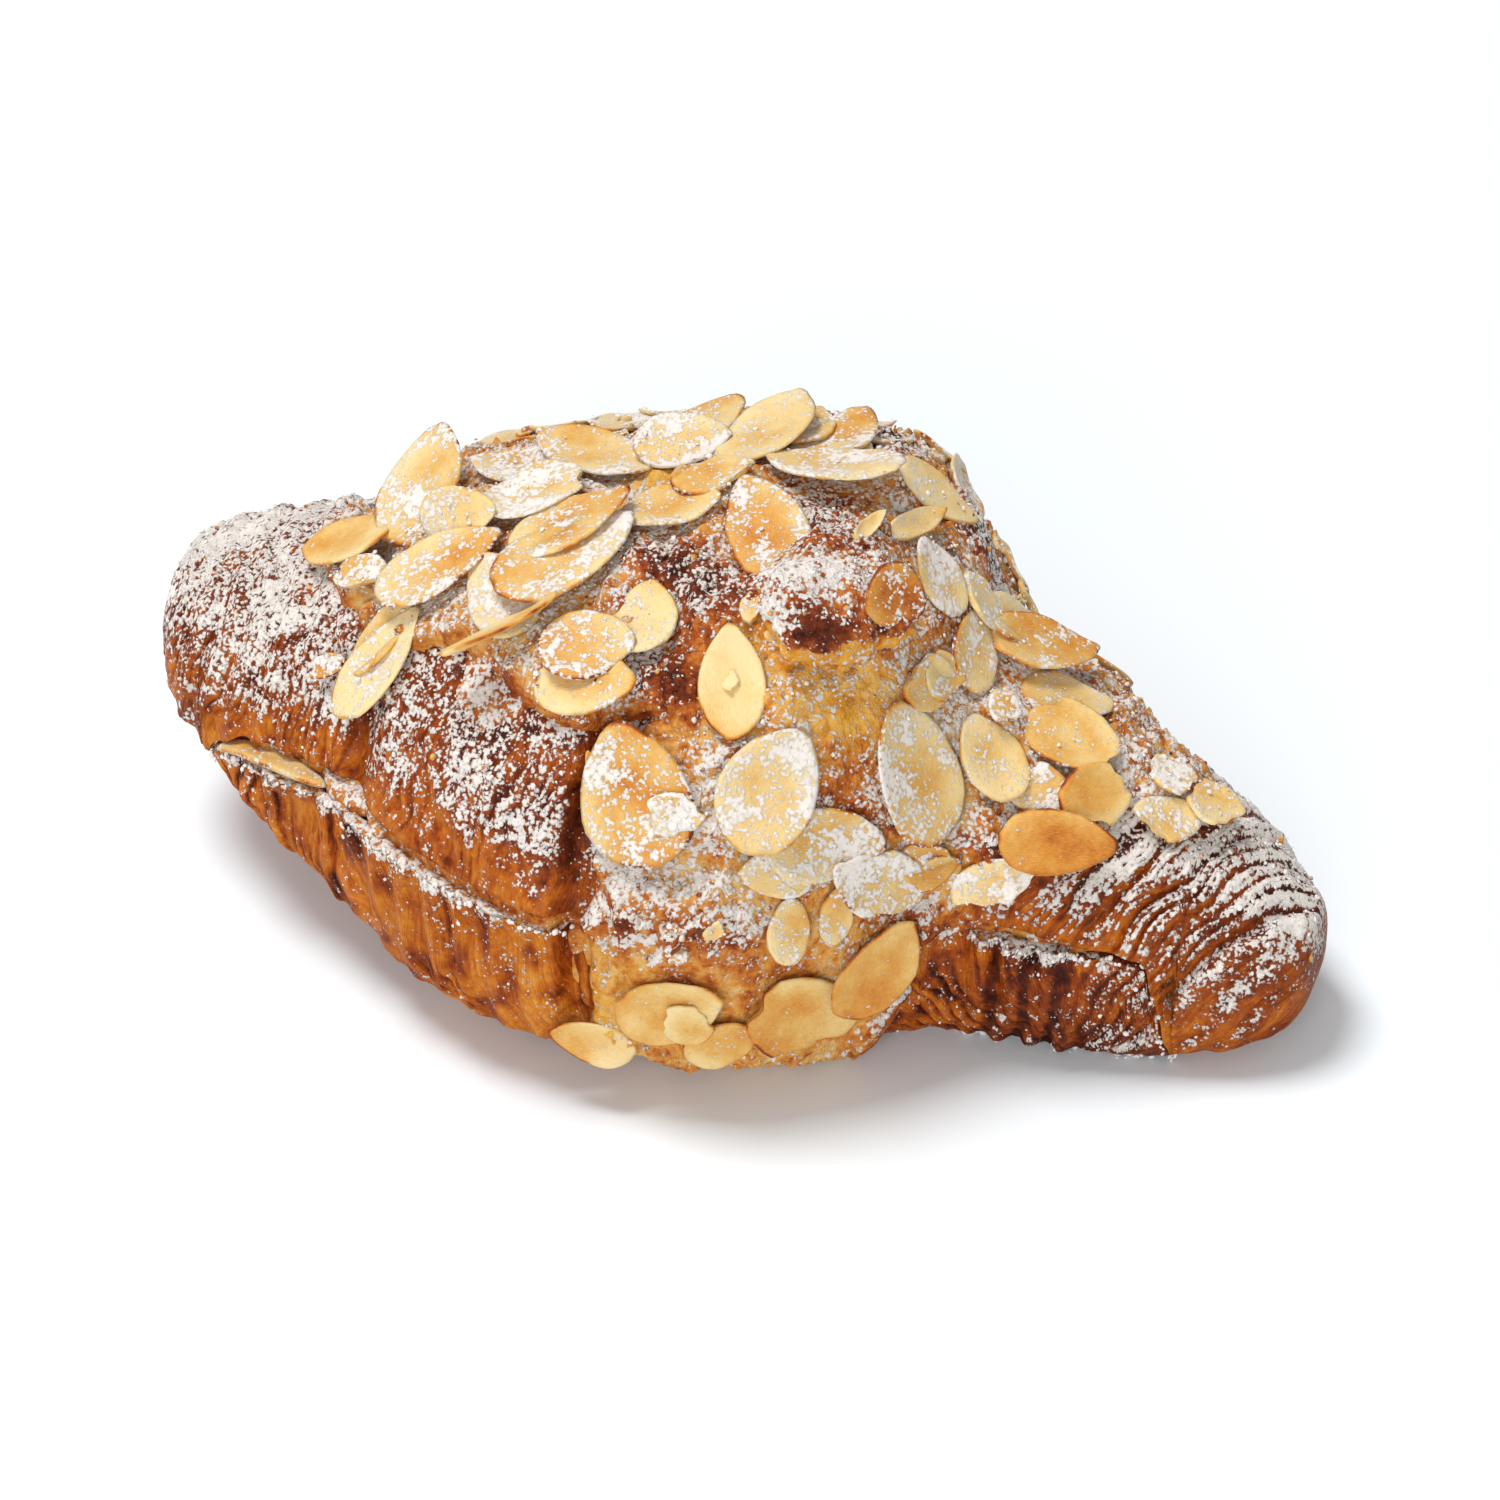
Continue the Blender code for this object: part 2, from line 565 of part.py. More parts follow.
def back_flakes():
    """Flakes over the back of the crest, spread by a rule."""
    draw = random.Random(11)
    for index in range(BACK_FLAKES):
        along = -44.0 + 88.0 * (index + 0.5) / BACK_FLAKES + draw.uniform(-2.0, 2.0)
        around = 120.0 + 9.0 * (index % 2) + 9.0 * ease(along, 8.0, 14.0) + draw.uniform(-3.0, 3.0)
        length = draw.uniform(12.5, 17.0)
        yield along, around, draw.uniform(0.0, 180.0), length, 0.62 * length, 0.1, 0, 0


def make_topping(look):
    """Cream and flakes, fused into one solid."""
    pieces = [make_apron(look), make_knob(look)]
    for flake in (*FLAKES, *back_flakes()):
        pieces.append(make_flake(*flake, look))
    return fuse(make_crest(look), pieces, "almond_topping", look)


def centre_on_ground(pieces):
    """Put the middle of the whole over the origin, with its foot on the ground."""
    corners = np.array([vert.co for piece in pieces for vert in piece.data.vertices])
    low, high = corners.min(axis=0), corners.max(axis=0)
    shift = ((low[0] + high[0]) / 2, (low[1] + high[1]) / 2, low[2])
    for piece in pieces:
        for vert in piece.data.vertices:
            vert.co.x -= shift[0]
            vert.co.y -= shift[1]
            vert.co.z -= shift[2]


def main():
    for old in list(bpy.data.objects):
        bpy.data.objects.remove(old)
    crust = material("baked_crust", (0.46, 0.22, 0.09), 0.6)
    crumb = material("base_crust", (0.50, 0.25, 0.10), 0.6)
    cream = material("almond_cream", (0.62, 0.44, 0.24), 0.6)
    almond = material("flaked_almond", (0.80, 0.60, 0.34), 0.55)
    pieces = [make_pastry_base(crumb), make_filling(cream), make_pastry_top(crust), make_topping(almond)]
    centre_on_ground(pieces)


main()
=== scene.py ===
import math
from itertools import product

import bmesh
import bpy
import numpy as np
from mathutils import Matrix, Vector


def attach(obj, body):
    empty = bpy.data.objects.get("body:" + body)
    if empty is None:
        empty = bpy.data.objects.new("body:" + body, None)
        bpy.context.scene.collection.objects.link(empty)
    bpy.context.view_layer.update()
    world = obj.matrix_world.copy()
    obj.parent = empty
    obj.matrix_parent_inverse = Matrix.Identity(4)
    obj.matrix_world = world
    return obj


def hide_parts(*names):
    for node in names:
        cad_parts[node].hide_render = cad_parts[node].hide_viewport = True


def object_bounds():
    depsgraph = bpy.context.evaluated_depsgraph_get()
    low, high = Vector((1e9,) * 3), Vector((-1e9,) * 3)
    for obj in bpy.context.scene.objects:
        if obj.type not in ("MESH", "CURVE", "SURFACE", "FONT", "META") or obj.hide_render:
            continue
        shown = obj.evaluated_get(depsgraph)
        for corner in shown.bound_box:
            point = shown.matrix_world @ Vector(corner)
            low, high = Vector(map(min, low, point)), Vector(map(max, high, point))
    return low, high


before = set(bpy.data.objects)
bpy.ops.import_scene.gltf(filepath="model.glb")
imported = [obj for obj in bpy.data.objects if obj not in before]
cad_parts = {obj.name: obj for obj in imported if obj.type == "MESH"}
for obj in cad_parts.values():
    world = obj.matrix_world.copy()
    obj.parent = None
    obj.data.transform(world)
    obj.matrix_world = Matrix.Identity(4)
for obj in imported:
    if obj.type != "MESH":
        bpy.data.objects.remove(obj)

cad_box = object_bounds()

MM = 0.001
SHIFT = np.array([1.25, 0.638, 0.0])  # from the middle of the dough to the part's origin, in mm

# ------------------------------------------------------------------ the form
# Lengths in mm. Along runs from the left tip to the right tip. Around is the
# angle about the length: 0 is the front, 90 the top and 180 the back.

SECTIONS = (  # along, half width, top, underside, sideways
    (-86.0, 0.0, 31.5, 31.5, 4.0), (-84.0, 11.0, 38.0, 22.5, 3.5), (-74.0, 20.5, 42.5, 17.0, 2.0),
    (-60.0, 27.0, 47.0, 11.5, 1.0), (-50.0, 31.5, 52.0, 6.5, 1.0), (-36.0, 39.5, 57.5, 0.5, -0.5),
    (-24.0, 44.0, 60.0, -1.5, 0.0), (-10.0, 47.0, 62.5, -1.5, 1.0), (14.0, 44.0, 66.0, -1.5, 2.0),
    (26.0, 34.0, 59.0, -1.5, 1.0), (36.0, 25.5, 46.0, -1.5, 1.0), (56.0, 21.0, 36.5, -1.5, 0.0),
    (72.0, 15.0, 27.5, 1.0, -1.0), (80.0, 9.5, 21.5, 4.0, -2.0), (82.6, 6.2, 18.8, 7.2, -2.0),
    (83.5, 0.0, 12.5, 12.5, -2.0),
)
LEFT_END, RIGHT_END = SECTIONS[0][0], SECTIONS[-1][0]
WIDEST_AT, UPPER_ROUND, LOWER_ROUND = 0.40, 0.95, 0.50
SLICE = (  # along, height, half gap
    (-80.0, 2.0, 0.8), (-76.0, 12.0, 0.8), (-71.0, 22.5, 1.0), (-64.0, 26.0, 2.8),
    (-50.0, 28.5, 2.8), (-38.0, 29.0, 1.9), (-12.0, 28.0, 2.0), (20.0, 24.0, 2.0),
    (50.0, 20.5, 1.3), (62.0, 18.5, 0.5), (68.0, -4.0, 0.5),
)
RIM, RIM_FLARE, RIM_TORN_AT = 2.8, 2.8, -8.5
TOP_OPEN_FROM, TOP_OPEN_TO = -78.0, 67.5     # the upper half is closed below beyond these
FILLING_FROM, FILLING_TO, FILLING_ROUNDED = -67.0, 54.0, 9
CREASE = (
    (-60.0, -45.0), (15.0, -45.0), (60.0, -46.0), (100.0, -56.0), (180.0, -60.0), (240.0, -60.0),
)
SHOULDER = (
    (-60.0, -11.0), (10.0, -10.0), (45.0, -8.5), (75.0, -4.0), (110.0, 2.0), (180.0, -2.0),
    (240.0, -2.0),
)
CREASE_DEEP, CREASE_WIDE, SHOULDER_HIGH = 3.0, 2.2, 3.0
TIP_RIDGES_FROM, TIP_RIDGE_HIGH, TIP_RIDGE_EVERY = 42.0, 0.4, 5.6
SLANT_LOW, SLANT_HIGH, SLANT_BENDS_AT = 0.20, 0.13, 50.0     # mm per degree, and the angle between
TIP_LOBE_FROM = 65.5
LEFT_RIDGE_HIGH, LEFT_RIDGE_EVERY = 0.45, 4.8
CREST = (  # along, front edge and back edge (around)
    (-63.0, 90.0, 90.0), (-57.0, 70.0, 108.0), (-45.0, 51.0, 120.0), (-30.0, 54.0, 128.0),
    (-12.0, 43.0, 134.0), (20.0, 50.0, 138.0), (45.0, 58.0, 132.0), (58.0, 72.0, 120.0),
    (71.0, 96.0, 96.0),
)
APRON = (  # around, left edge and right edge (along)
    (-58.0, 1.0, 27.0), (-20.0, -6.5, 30.5), (0.0, -7.0, 33.0), (11.0, -6.5, 38.0),
    (34.0, -5.0, 47.0), (62.0, -2.0, 56.0), (80.0, 4.0, 56.0),
)
CREAM_THICK, CREAM_SUNK = 2.6, 1.3
CREAM_WAVES = ((0.35, 0.55, 0.11), (0.3, 0.21, -0.19))     # height, turn by mm along, by degree around
LUMPS = (  # along, around, reach along, reach around, height
    (18.0, 72.0, 12.0, 13.0, 1.6), (5.0, 8.0, 8.0, 9.0, 2.6), (39.0, 76.0, 4.5, 7.0, 2.2),
    (30.0, -2.0, 5.0, 9.0, 1.2), (-4.0, 96.0, 9.0, 12.0, 1.4), (36.0, 97.0, 7.0, 12.0, 1.2),
)
KNOB = (18.0, 67.0, 4.0, 36.0, 11.5, 8.0, 5.5)  # along, around, out, turn, half sizes
CAVITY = (-24.5, 51.0, 5.0, 9.0, 4.2)           # a pit in the top half, darkened as painted shade: along, around, reach along and around, depth

# Flaked almonds: along, around, turn, length, width, height over the cream,
# pitch, roll, sugar, toast, pointed, chipped.
FLAKES = (
    (-47, 91, 95, 21, 13, 2.2, 22, 0, 0.40, 0.30, 0.1, 0),
    (-56, 79, 175, 16, 10, 0.4, 0, 0, 0.12, 0.30, 0.3, 0),
    (-51, 67, 178, 10, 6, 0.4, 0, 0, 0.50, 0.45, 0.2, 1),
    (-38, 70, 45, 19, 12, 1.2, 5, 0, 0.48, 0.35, 0.2, 0),
    (-38, 81, 12, 12, 8, 2.0, 0, 50, 0.35, 0.25, 0.1, 0),
    (-29, 88, 16, 17, 12, 1.4, 8, 0, 0.66, 0.25, 0.1, 1),
    (-35, 99, 168, 15, 11, 0.4, 0, 0, 0.65, 0.30, 0.1, 0),
    (-25, 100, 155, 20, 11, 0.8, 4, 0, 0.38, 0.20, 0.4, 0),
    (-20, 73, 48, 22, 14, 1.4, 4, 0, 0.42, 0.35, 0.0, 0),
    (-21, 80, 38, 18, 12, 2.3, 6, 0, 0.40, 0.35, 0.2, 0),
    (-27, 65, 137, 17, 10, 0.3, 0, 0, 0.48, 0.10, 0.1, 0),
    (-24, 57, 36, 18, 7, 3.0, 0, -48, 0.06, 0.32, 0.4, 0),
    (-44, 53, 65, 14, 8, -0.2, 6, 0, 0.18, 0.35, 0.3, 0),
    (-43, 47, 73, 19, 9, -1.0, 4, 0, 0.28, 0.15, 0.5, 0),
    (-14, 109, 50, 19, 11, 0.7, 5, 0, 0.38, 0.25, 0.2, 0),
    (-13, 101, 20, 14, 9, 1.8, 0, 30, 0.60, 0.10, 0.3, 0),
    (-2, 105, 80, 20, 12, 1.6, 8, 0, 0.20, 0.20, 0.1, 0),
    (7, 109, 88, 19, 11, 1.4, 10, 0, 0.42, 0.45, 0.3, 1),
    (10, 96, 174, 20, 13, 2.2, 0, 8, 0.52, 0.30, 0.2, 0),
    (5, 82, 120, 20, 11, 0.8, 4, 0, 0.42, 0.45, 0.0, 0),
    (-5, 91, 9, 12, 9, 0.4, 0, 0, 0.30, 0.30, 0.1, 1),
    (-9, 85, 8, 14, 10, 0.6, 0, 0, 0.32, 0.30, 0.1, 0),
    (-6, 63, 92, 12, 9, 0.5, 0, 0, 0.22, 0.10, 0.2, 0),
    (-12, 57, 6, 13, 11, 0.4, 0, 0, 0.38, 0.60, 0.0, 0),
    (-11, 51, 1, 15, 10, -0.8, 0, 0, 0.20, 0.25, 0.1, 0),
    (22, 96, 77, 12, 4, 0.7, 12, 0, 0.20, 0.25, 0.2, 0),
    (27, 89, 160, 12, 9, 0.5, 0, 0, 0.50, 0.30, 0.2, 0),
    (8, 52, 96, 16, 9, 0.5, 0, 0, 0.02, 0.15, 0.9, 0),
    (-1, 32, 103, 20, 15, 0.6, 0, 0, 0.38, 0.52, 0.2, 0),
    (16, 34, 69, 18, 13, 0.5, 0, 0, 0.42, 0.36, 0.1, 0),
    (23, 25, 6, 18, 10, 0.3, 0, 0, 0.44, 0.36, 0.2, 0),
    (31, 46, 147, 21, 14, 0.7, 0, 0, 0.44, 0.33, 0.0, 0),
    (30, 66, 40, 11, 8, 0.4, 0, 0, 0.30, 0.35, 0.1, 1),
    (33, 84, 102, 14, 9, 0.4, 0, 0, 0.45, 0.25, 0.2, 0),
    (40, 101, 45, 18, 10, 1.0, 6, 0, 0.28, 0.40, 0.3, 0),
    (35, 104, 60, 14, 9, 0.5, 0, 0, 0.42, 0.30, 0.1, 0),
    (45, 92, 37, 14, 9, 0.5, 0, 0, 0.32, 0.40, 0.1, 0),
    (48, 79, 4, 16, 10, 1.1, 0, 0, 0.28, 0.30, 0.2, 1),
    (39, 61, 143, 13, 9, 0.5, 0, 0, 0.24, 0.20, 0.1, 0),
    (53, 66, 62, 12, 9, 0.8, 0, 20, 0.10, 0.48, 0.0, 1),
    (50, 47, 21, 16, 9, 0.5, 0, 14, 0.02, 0.70, 0.1, 0),
    (62, 73, 35, 11, 7, 0.4, 0, 0, 0.30, 0.15, 0.1, 1),
    (67, 88, 26, 9, 8, 0.4, 0, 0, 0.32, 0.20, 0.1, 1),
    (6, -3, 16, 15, 11, 0.8, 0, 0, 0.08, 0.40, 0.3, 0),
    (21, -6, 150, 21, 13, 0.8, 0, 0, 0.05, 0.42, 0.2, 1),
    (30, 0, 75, 17, 11, 0.5, 0, 0, 0.04, 0.48, 0.3, 0),
    (20, 8, 101, 11, 6, 0.3, 0, 0, 0.30, 0.25, 0.3, 0),
    (12, -14, 44, 12, 8, 0.3, 0, 0, 0.15, 0.44, 0.2, 0),
)
# Smaller flakes and pieces of flake, in the same columns. They don't press into the cream.
SMALL_FLAKES = (
    (18, 86, 82, 8, 2.2, 1.0, 10, 0, 0.15, 0.25, 0.2, 0),
    (22, 109, 34, 14, 9, 0.8, 0, 10, 0.25, 0.10, 0.2, 0),
    (2, 111, 97, 14, 8, 1.2, 6, 0, 0.35, 0.30, 0.2, 0),
    (8, 65, 100, 5, 3.6, 0.6, 0, 0, 0.30, 0.25, 0.2, 1),
    (46, 60, 7, 10, 7, 0.3, 0, 0, 0.50, 0.35, 0.1, 1),
    (43, 29, 44, 13, 7, 0.4, 0, 0, 0.50, 0.05, 0.2, 1),
    (5, 29, 8, 9, 6, 1.4, 0, 0, 0.66, 0.30, 0.1, 1),
    (29, 19, 176, 17, 10, 0.7, 0, 0, 0.62, 0.30, 0.1, 1),
    (34, 27, 28, 10, 7, 0.3, 0, 0, 0.20, 0.50, 0.2, 1),
    (18, 19, 179, 11, 7, 0.2, 0, 0, 0.45, 0.20, 0.1, 0),
    (10, 103.5, 60, 8, 6, 0.6, 0, 0, 0.30, 0.15, 0.2, 0),
    (32, 95, 20, 11, 7, 0.4, 0, 0, 0.40, 0.30, 0.1, 1),
    (-51.5, 42, 23, 7, 3.5, -2.0, 0, 0, 0.50, 0.60, 0.2, 1),
    (-6, 35, 118, 8, 3.5, 0.3, 0, 0, 0.08, 0.85, 0.1, 1),
    (39, 74, 134, 6, 5, 1.0, 0, 0, 0.50, 0.60, 0.1, 1),
    (60.6, 88, 179, 8, 7, 0.3, 0, 0, 0.48, 0.30, 0.1, 1),
    (31, 70, 178, 8, 7, 1.0, 0, 0, 0.30, 0.45, 0.1, 1),
    (13, 60, 29, 5, 3.5, 0.6, 0, 0, 0.20, 0.15, 0.2, 1),
    (8.4, -5, 5, 8, 7, 1.9, 0, 0, 0.06, 0.15, 0.2, 1),
    (25, 11, 105, 9, 5, 0.4, 0, 0, 0.30, 0.30, 0.2, 0),
    (-5, -16, 168, 12, 6, 0.4, 0, 40, 0.10, 0.20, 0.3, 0),
    (36, 27, 21, 7, 5, 0.4, 0, 0, 0.25, 0.50, 0.1, 1),
    (8, 52, 90, 2.8, 2.4, 0.75, 0, 0, 0.02, 0.05, 0.1, 1),
    (25.7, 71, 10, 9.5, 8.8, 8.1, 0, 22, 0.28, 0.88, 0.0, 0),
)
BACK_FLAKES, CHIPS, CRUMBS = 14, 16, 1500
FLAKE_SEED, SUGAR_SEED, CRUMB_SEED = 5, 7, 17
TOP_DRIFT_SEED, BASE_DRIFT_SEED, CREAM_DRIFT_SEED = 21, 41, 65
FLAKE_THICK, FLAKE_CURL, FLAKE_TILT = 0.85, 0.7, 3.0
STANDING_FROM = 25                      # a flake rolled further than this stands on its edge
SLIVER = (-60.0, 21.0, 4.4, 1.1)        # along, length, width, thickness

# Browned places on the cream: along, around, reach along, reach around, how brown.
BROWNED = (
    (-2, 72, 7, 7, 0.50), (-8, 77, 5, 5, 0.40), (5, 68, 5, 5, 0.35), (-0.8, 8, 5, 4, 0.56),
    (9.7, 8, 5, 4, 0.40), (15.5, 3, 5, 5, 0.14), (1, 54, 6, 10, 0.54), (33, 11, 6, 6, 0.40),
    (12, 114, 5, 6, 0.95), (28, 117, 5, 7, 0.90), (68, 112, 5, 9, 0.85), (40, 37, 5, 5, 0.55),
    (44, 40, 4, 4, 0.45), (25, 33, 5, 4, 0.40), (-8, 53, 5, 5, 0.45), (11, 88, 6, 6, 0.40),
    (48, 104, 7, 9, 0.30), (-30, 92, 6, 5, 0.30), (24, 42, 6, 5, 0.25), (57, 88, 6, 7, 0.22),
    (15, 80, 5, 5, 0.40),
)
YELLOW = (  # eggy places on the cream, made paler there as painted light: along, around, reach along, reach around
    (-14, 93, 5, 5), (-4.5, -10, 6, 11), (19, 57, 9, 5), (22, 50, 8, 6), (11, 60, 4, 5), (64, 77, 4, 5),
)
HEAVY_SUGAR = (  # on the cream: along, around, reach along, reach around, how much
    (6, 28, 6, 5, 0.35), (31, 21, 8, 6, 0.35), (52, 79, 9, 9, 0.35), (31, 61, 5, 5, 0.25),
    (38, 80, 6, 6, 0.25), (31, -8, 4, 5, 0.50), (-26, 91, 7, 5, 0.30), (2, 18, 7, 5, 0.20),
    (44, 52, 6, 6, 0.30), (2, 7, 8, 5, 0.22), (13, 10, 7, 5, 0.22), (5, 2, 10, 6, 0.24),
    (0, 9, 8, 5, 0.12), (9, 36, 4, 12, 0.22), (1, 54, 6, 11, -0.38), (-4, 72, 8, 8, -0.15),
    (20, 54, 12, 8, -0.06),
)
TEAR = (-8.3, 1.5, 1.6, 5.5)            # in the base: along, around, their reach
PALE_END = (-13.0, -6.0, 6.0, 24.0)     # where the base ends beside the apron

# How finely each surface is meshed.
TOP_STRETCHES = ((LEFT_END, -78.0, 41), (-78.0, 58.0, 371), (58.0, 72.0, 111), (72.0, RIGHT_END, 61))
TOP_COLUMNS, BASE_ROWS, BASE_COLUMNS, FILLING_ROWS, FILLING_COLUMNS = 150, 420, 130, 420, 96
CREAM_ROWS, CREAM_COLUMNS, CREAM_INSIDE_EVERY = 385, 240, 18
CREAM_SPAN = ((-64.5, 72.0), (-60.0, 141.0))    # along and around

# Fine layers of the dough. Spacing in mm.
RIDGE_EVERY, CLOSE_RIDGE_EVERY, CLOSE_RIDGES_FROM = 4.6, 2.1, 54.0
LINE_EVERY, BASE_LAYER_EVERY = 1.05, 2.6
LEFT_LAYERS = (0.06, 1.8, 0.7, 1.35)    # lean by degree, wide wander, close wander, spacing
MIDDLE_LAYERS = (0.12, 3.2, 1.3, 2.2)
LAYERS_SUNK = 0.35                      # keeps the layered skin on the smooth form

GRAINS = {  # smooth noises: size in mm, seed
    "dough_wide": (9, 1), "dough_close": (3.5, 2), "dough_strong": (5, 3), "dough_tiny": (1.3, 4),
    "dough_blister": (2.4, 5), "dough_pit": (1.7, 7), "base_broad": (18, 34), "base_wide": (8, 31),
    "base_close": (3, 32), "base_tiny": (1.2, 33), "base_strong": (6, 37), "base_blister": (3.4, 38),
    "filling_coarse": (4.5, 51), "filling_medium": (1.8, 52), "filling_small": (0.8, 53),
    "cream_coarse": (5, 61), "cream_medium": (2.2, 62), "cream_small": (1.0, 63),
    "cream_grit": (0.65, 64),
}

# Colours from pale to dark: how baked, then red, green and blue as on a screen.
CRUST_TONES = (
    (0.0, 224, 160, 72), (0.25, 202, 122, 36), (0.45, 178, 92, 21), (0.62, 147, 66, 16),
    (0.80, 105, 41, 13), (1.0, 60, 21, 9),
)
CREAM_TONES = (
    (0.0, 226, 190, 126), (0.25, 216, 154, 74), (0.42, 197, 116, 44), (0.60, 158, 74, 27),
    (0.78, 110, 45, 19), (1.0, 58, 22, 12),
)
EGG_TONES = ((0.1, 230, 172, 66), (0.4, 216, 142, 32), (0.8, 170, 84, 18))
ALMOND_TONES = (
    (0.0, 230, 206, 154), (0.25, 224, 190, 124), (0.45, 214, 164, 86), (0.65, 205, 136, 52),
    (0.85, 174, 94, 30), (1.0, 126, 56, 20),
)
SUGAR_TINT, CLUMP_SHADE, CLUMP_TINT = (231, 223, 215), (222, 215, 210), (236, 230, 225)

# Sugar grains and clumps: piece, how many, smallest and largest radius in mm.
SUGAR_PIECES = (("sugar_grains", 9500, 0.10, 0.24), ("sugar_clumps", 2400, 0.20, 0.50))

# The studio, in metres. The floor's colour is linear.
FLOOR_TINT, WORLD_STRENGTH = (0.83, 0.872, 0.90, 1.0), 0.43
SOFTBOXES = (("key", (-0.66, 0.02, 1.95), 0.80, 32.0), ("front_fill", (0.30, -2.10, 0.85), 1.60, 26.5))
CAMERA_AIM, CAMERA_BACK, CAMERA_LENS = (0.00125, 0.000638, 0.028), 0.8, 139.2
CAMERA_TURN, CAMERA_RISE = 19.0, 38.0
PHOTO_WIDE, SHIFT_RIGHT, SHIFT_UP = 1500, 5, -15    # pixels


# ---------------------------------------------------------------- shape rules

def curve(table, column, at):
    """Smooth, never overshooting curve through one column of a table."""
    x = np.array([row[0] for row in table])
    y = np.array([row[column] for row in table])
    width = np.diff(x)
    slope = np.diff(y) / width
    tangent = np.zeros(len(x))
    tangent[0], tangent[-1] = slope[0], slope[-1]
    for i in range(1, len(x) - 1):
        if slope[i - 1] * slope[i] > 0:
            a = 2 * width[i] + width[i - 1]
            b = width[i] + 2 * width[i - 1]
            tangent[i] = (a + b) / (a / slope[i - 1] + b / slope[i])
    at = np.clip(at, x[0], x[-1])
    i = np.clip(np.searchsorted(x, at, side="right") - 1, 0, len(width) - 1)
    u = (at - x[i]) / width[i]
    start = y[i] * (1 + 2 * u) * (1 - u) ** 2 + tangent[i] * width[i] * u * (1 - u) ** 2
    end = y[i + 1] * u * u * (3 - 2 * u) + tangent[i + 1] * width[i] * u * u * (u - 1)
    return start + end


def ease(value, start, end):
    """0 before start, 1 after end, smooth between."""
    u = np.clip((value - start) / (end - start), 0.0, 1.0)
    return u * u * (3 - 2 * u)


def window(value, rise_from, rise_to, fall_from, fall_to):
    """1 over a stretch, smooth at both ends, 0 outside."""
    return ease(value, rise_from, rise_to) * (1 - ease(value, fall_from, fall_to))


def peak(value, at, reach):
    """1 at a value, fading to 0 past its reach on either side."""
    return np.exp(-(((value - at) / reach) ** 2))


def grain(x, y, z, seed):
    """Smooth noise between -1 and 1 through space."""
    size = 48
    table = np.random.default_rng(seed).uniform(-1.0, 1.0, (size, size, size))
    x, y, z = np.broadcast_arrays(x, y, z)
    cells = [np.floor(value).astype(int) for value in (x, y, z)]
    inside = [value - cell for value, cell in zip((x, y, z), cells)]
    inside = [value * value * (3 - 2 * value) for value in inside]
    total = np.zeros(x.shape)
    for corners in product((0, 1), repeat=3):
        share = np.ones(x.shape)
        for value, corner in zip(inside, corners):
            share = share * (value if corner else 1 - value)
        total += share * table[tuple((cell + corner) % size for cell, corner in zip(cells, corners))]
    return total


def grain_at(place, size, seed):
    """Smooth noise between -1 and 1 at points, for lumps of a size in mm."""
    return grain(place[..., 0] / size, place[..., 1] / size, place[..., 2] / size, seed)


def texture(place, name):
    """One of the named smooth noises at points."""
    return grain_at(place, *GRAINS[name])


def spot(along, around, place):
    """1 in the middle of an oval place, fading to 0 at its reach."""
    far = ((along - place[0]) / place[2]) ** 2 + ((around - place[1]) / place[3]) ** 2
    return np.exp(-far)


def section(along):
    """Half width, top, underside, sideways and widest height at a place along."""
    half, top, under, side = (curve(SECTIONS, column, along) for column in (1, 2, 3, 4))
    return half, top, under, side, under + WIDEST_AT * (top - under)


def bent(value, power):
    """Power of a value's size, with the value's sign."""
    return np.sign(value) * np.abs(value) ** power


def body(along, around, out):
    """Points of the smooth croissant, a distance out from it."""
    half, top, under, side, middle = section(along)
    angle = np.radians(around)
    across, up = np.cos(angle), np.sin(angle)
    above = up >= 0
    y = side - (half + out) * bent(across, np.where(above, UPPER_ROUND, LOWER_ROUND))
    high = middle + (top - middle + out) * bent(up, UPPER_ROUND)
    low = middle + (middle - under + 0.3 * out) * bent(up, LOWER_ROUND)
    z = np.maximum(np.where(above, high, low), 0.0)
    return np.stack([along + 0 * around, y, z], axis=-1)


def around_at_height(along, height):
    """Angle on the front where a section reaches a height."""
    half, top, under, side, middle = section(along)
    rise = np.clip((height - middle) / (top - middle + 1e-9), 0.0, 1.0)
    drop = np.clip((middle - height) / (middle - under + 1e-9), 0.0, 1.0)
    up = rise ** (1 / UPPER_ROUND) - drop ** (1 / LOWER_ROUND)
    return np.degrees(np.arcsin(np.clip(up, -1.0, 1.0)))


def slant(around):
    """How far along the ridges of the right tip lean at an angle."""
    low = np.minimum(around, SLANT_BENDS_AT)
    high = np.maximum(around - SLANT_BENDS_AT, 0.0)
    return SLANT_LOW * low + SLANT_HIGH * high


def relief(along, around):
    """Creases, steps and ridges of the rolled dough on the top half."""
    from_crease = along - curve(CREASE, 1, around)
    from_shoulder = along - curve(SHOULDER, 1, around)
    out = -CREASE_DEEP * peak(from_crease, 0.0, CREASE_WIDE)
    shoulder = SHOULDER_HIGH * (1 - 0.7 * ease(around, 50.0, 85.0))
    out += shoulder * ease(from_crease, 0.0, 30.0) * (1 - ease(from_shoulder, -1.5, 1.5))
    tip = window(along, TIP_RIDGES_FROM, TIP_RIDGES_FROM + 8, 76.0, 83.0)
    tip = tip * ease(90.0 - np.abs(around - 90.0), -40.0, -10.0)
    out += TIP_RIDGE_HIGH * tip * np.sin(2 * math.pi * (along - slant(around)) / TIP_RIDGE_EVERY)
    left = window(along, -84.0, -78.0, -52.0, -46.0)
    waves = np.sin(2 * math.pi * (from_crease - 0.05 * around) / LEFT_RIDGE_EVERY)
    out += LEFT_RIDGE_HIGH * left * waves
    return out * window(along, LEFT_END, LEFT_END + 4.0, 79.5, RIGHT_END)


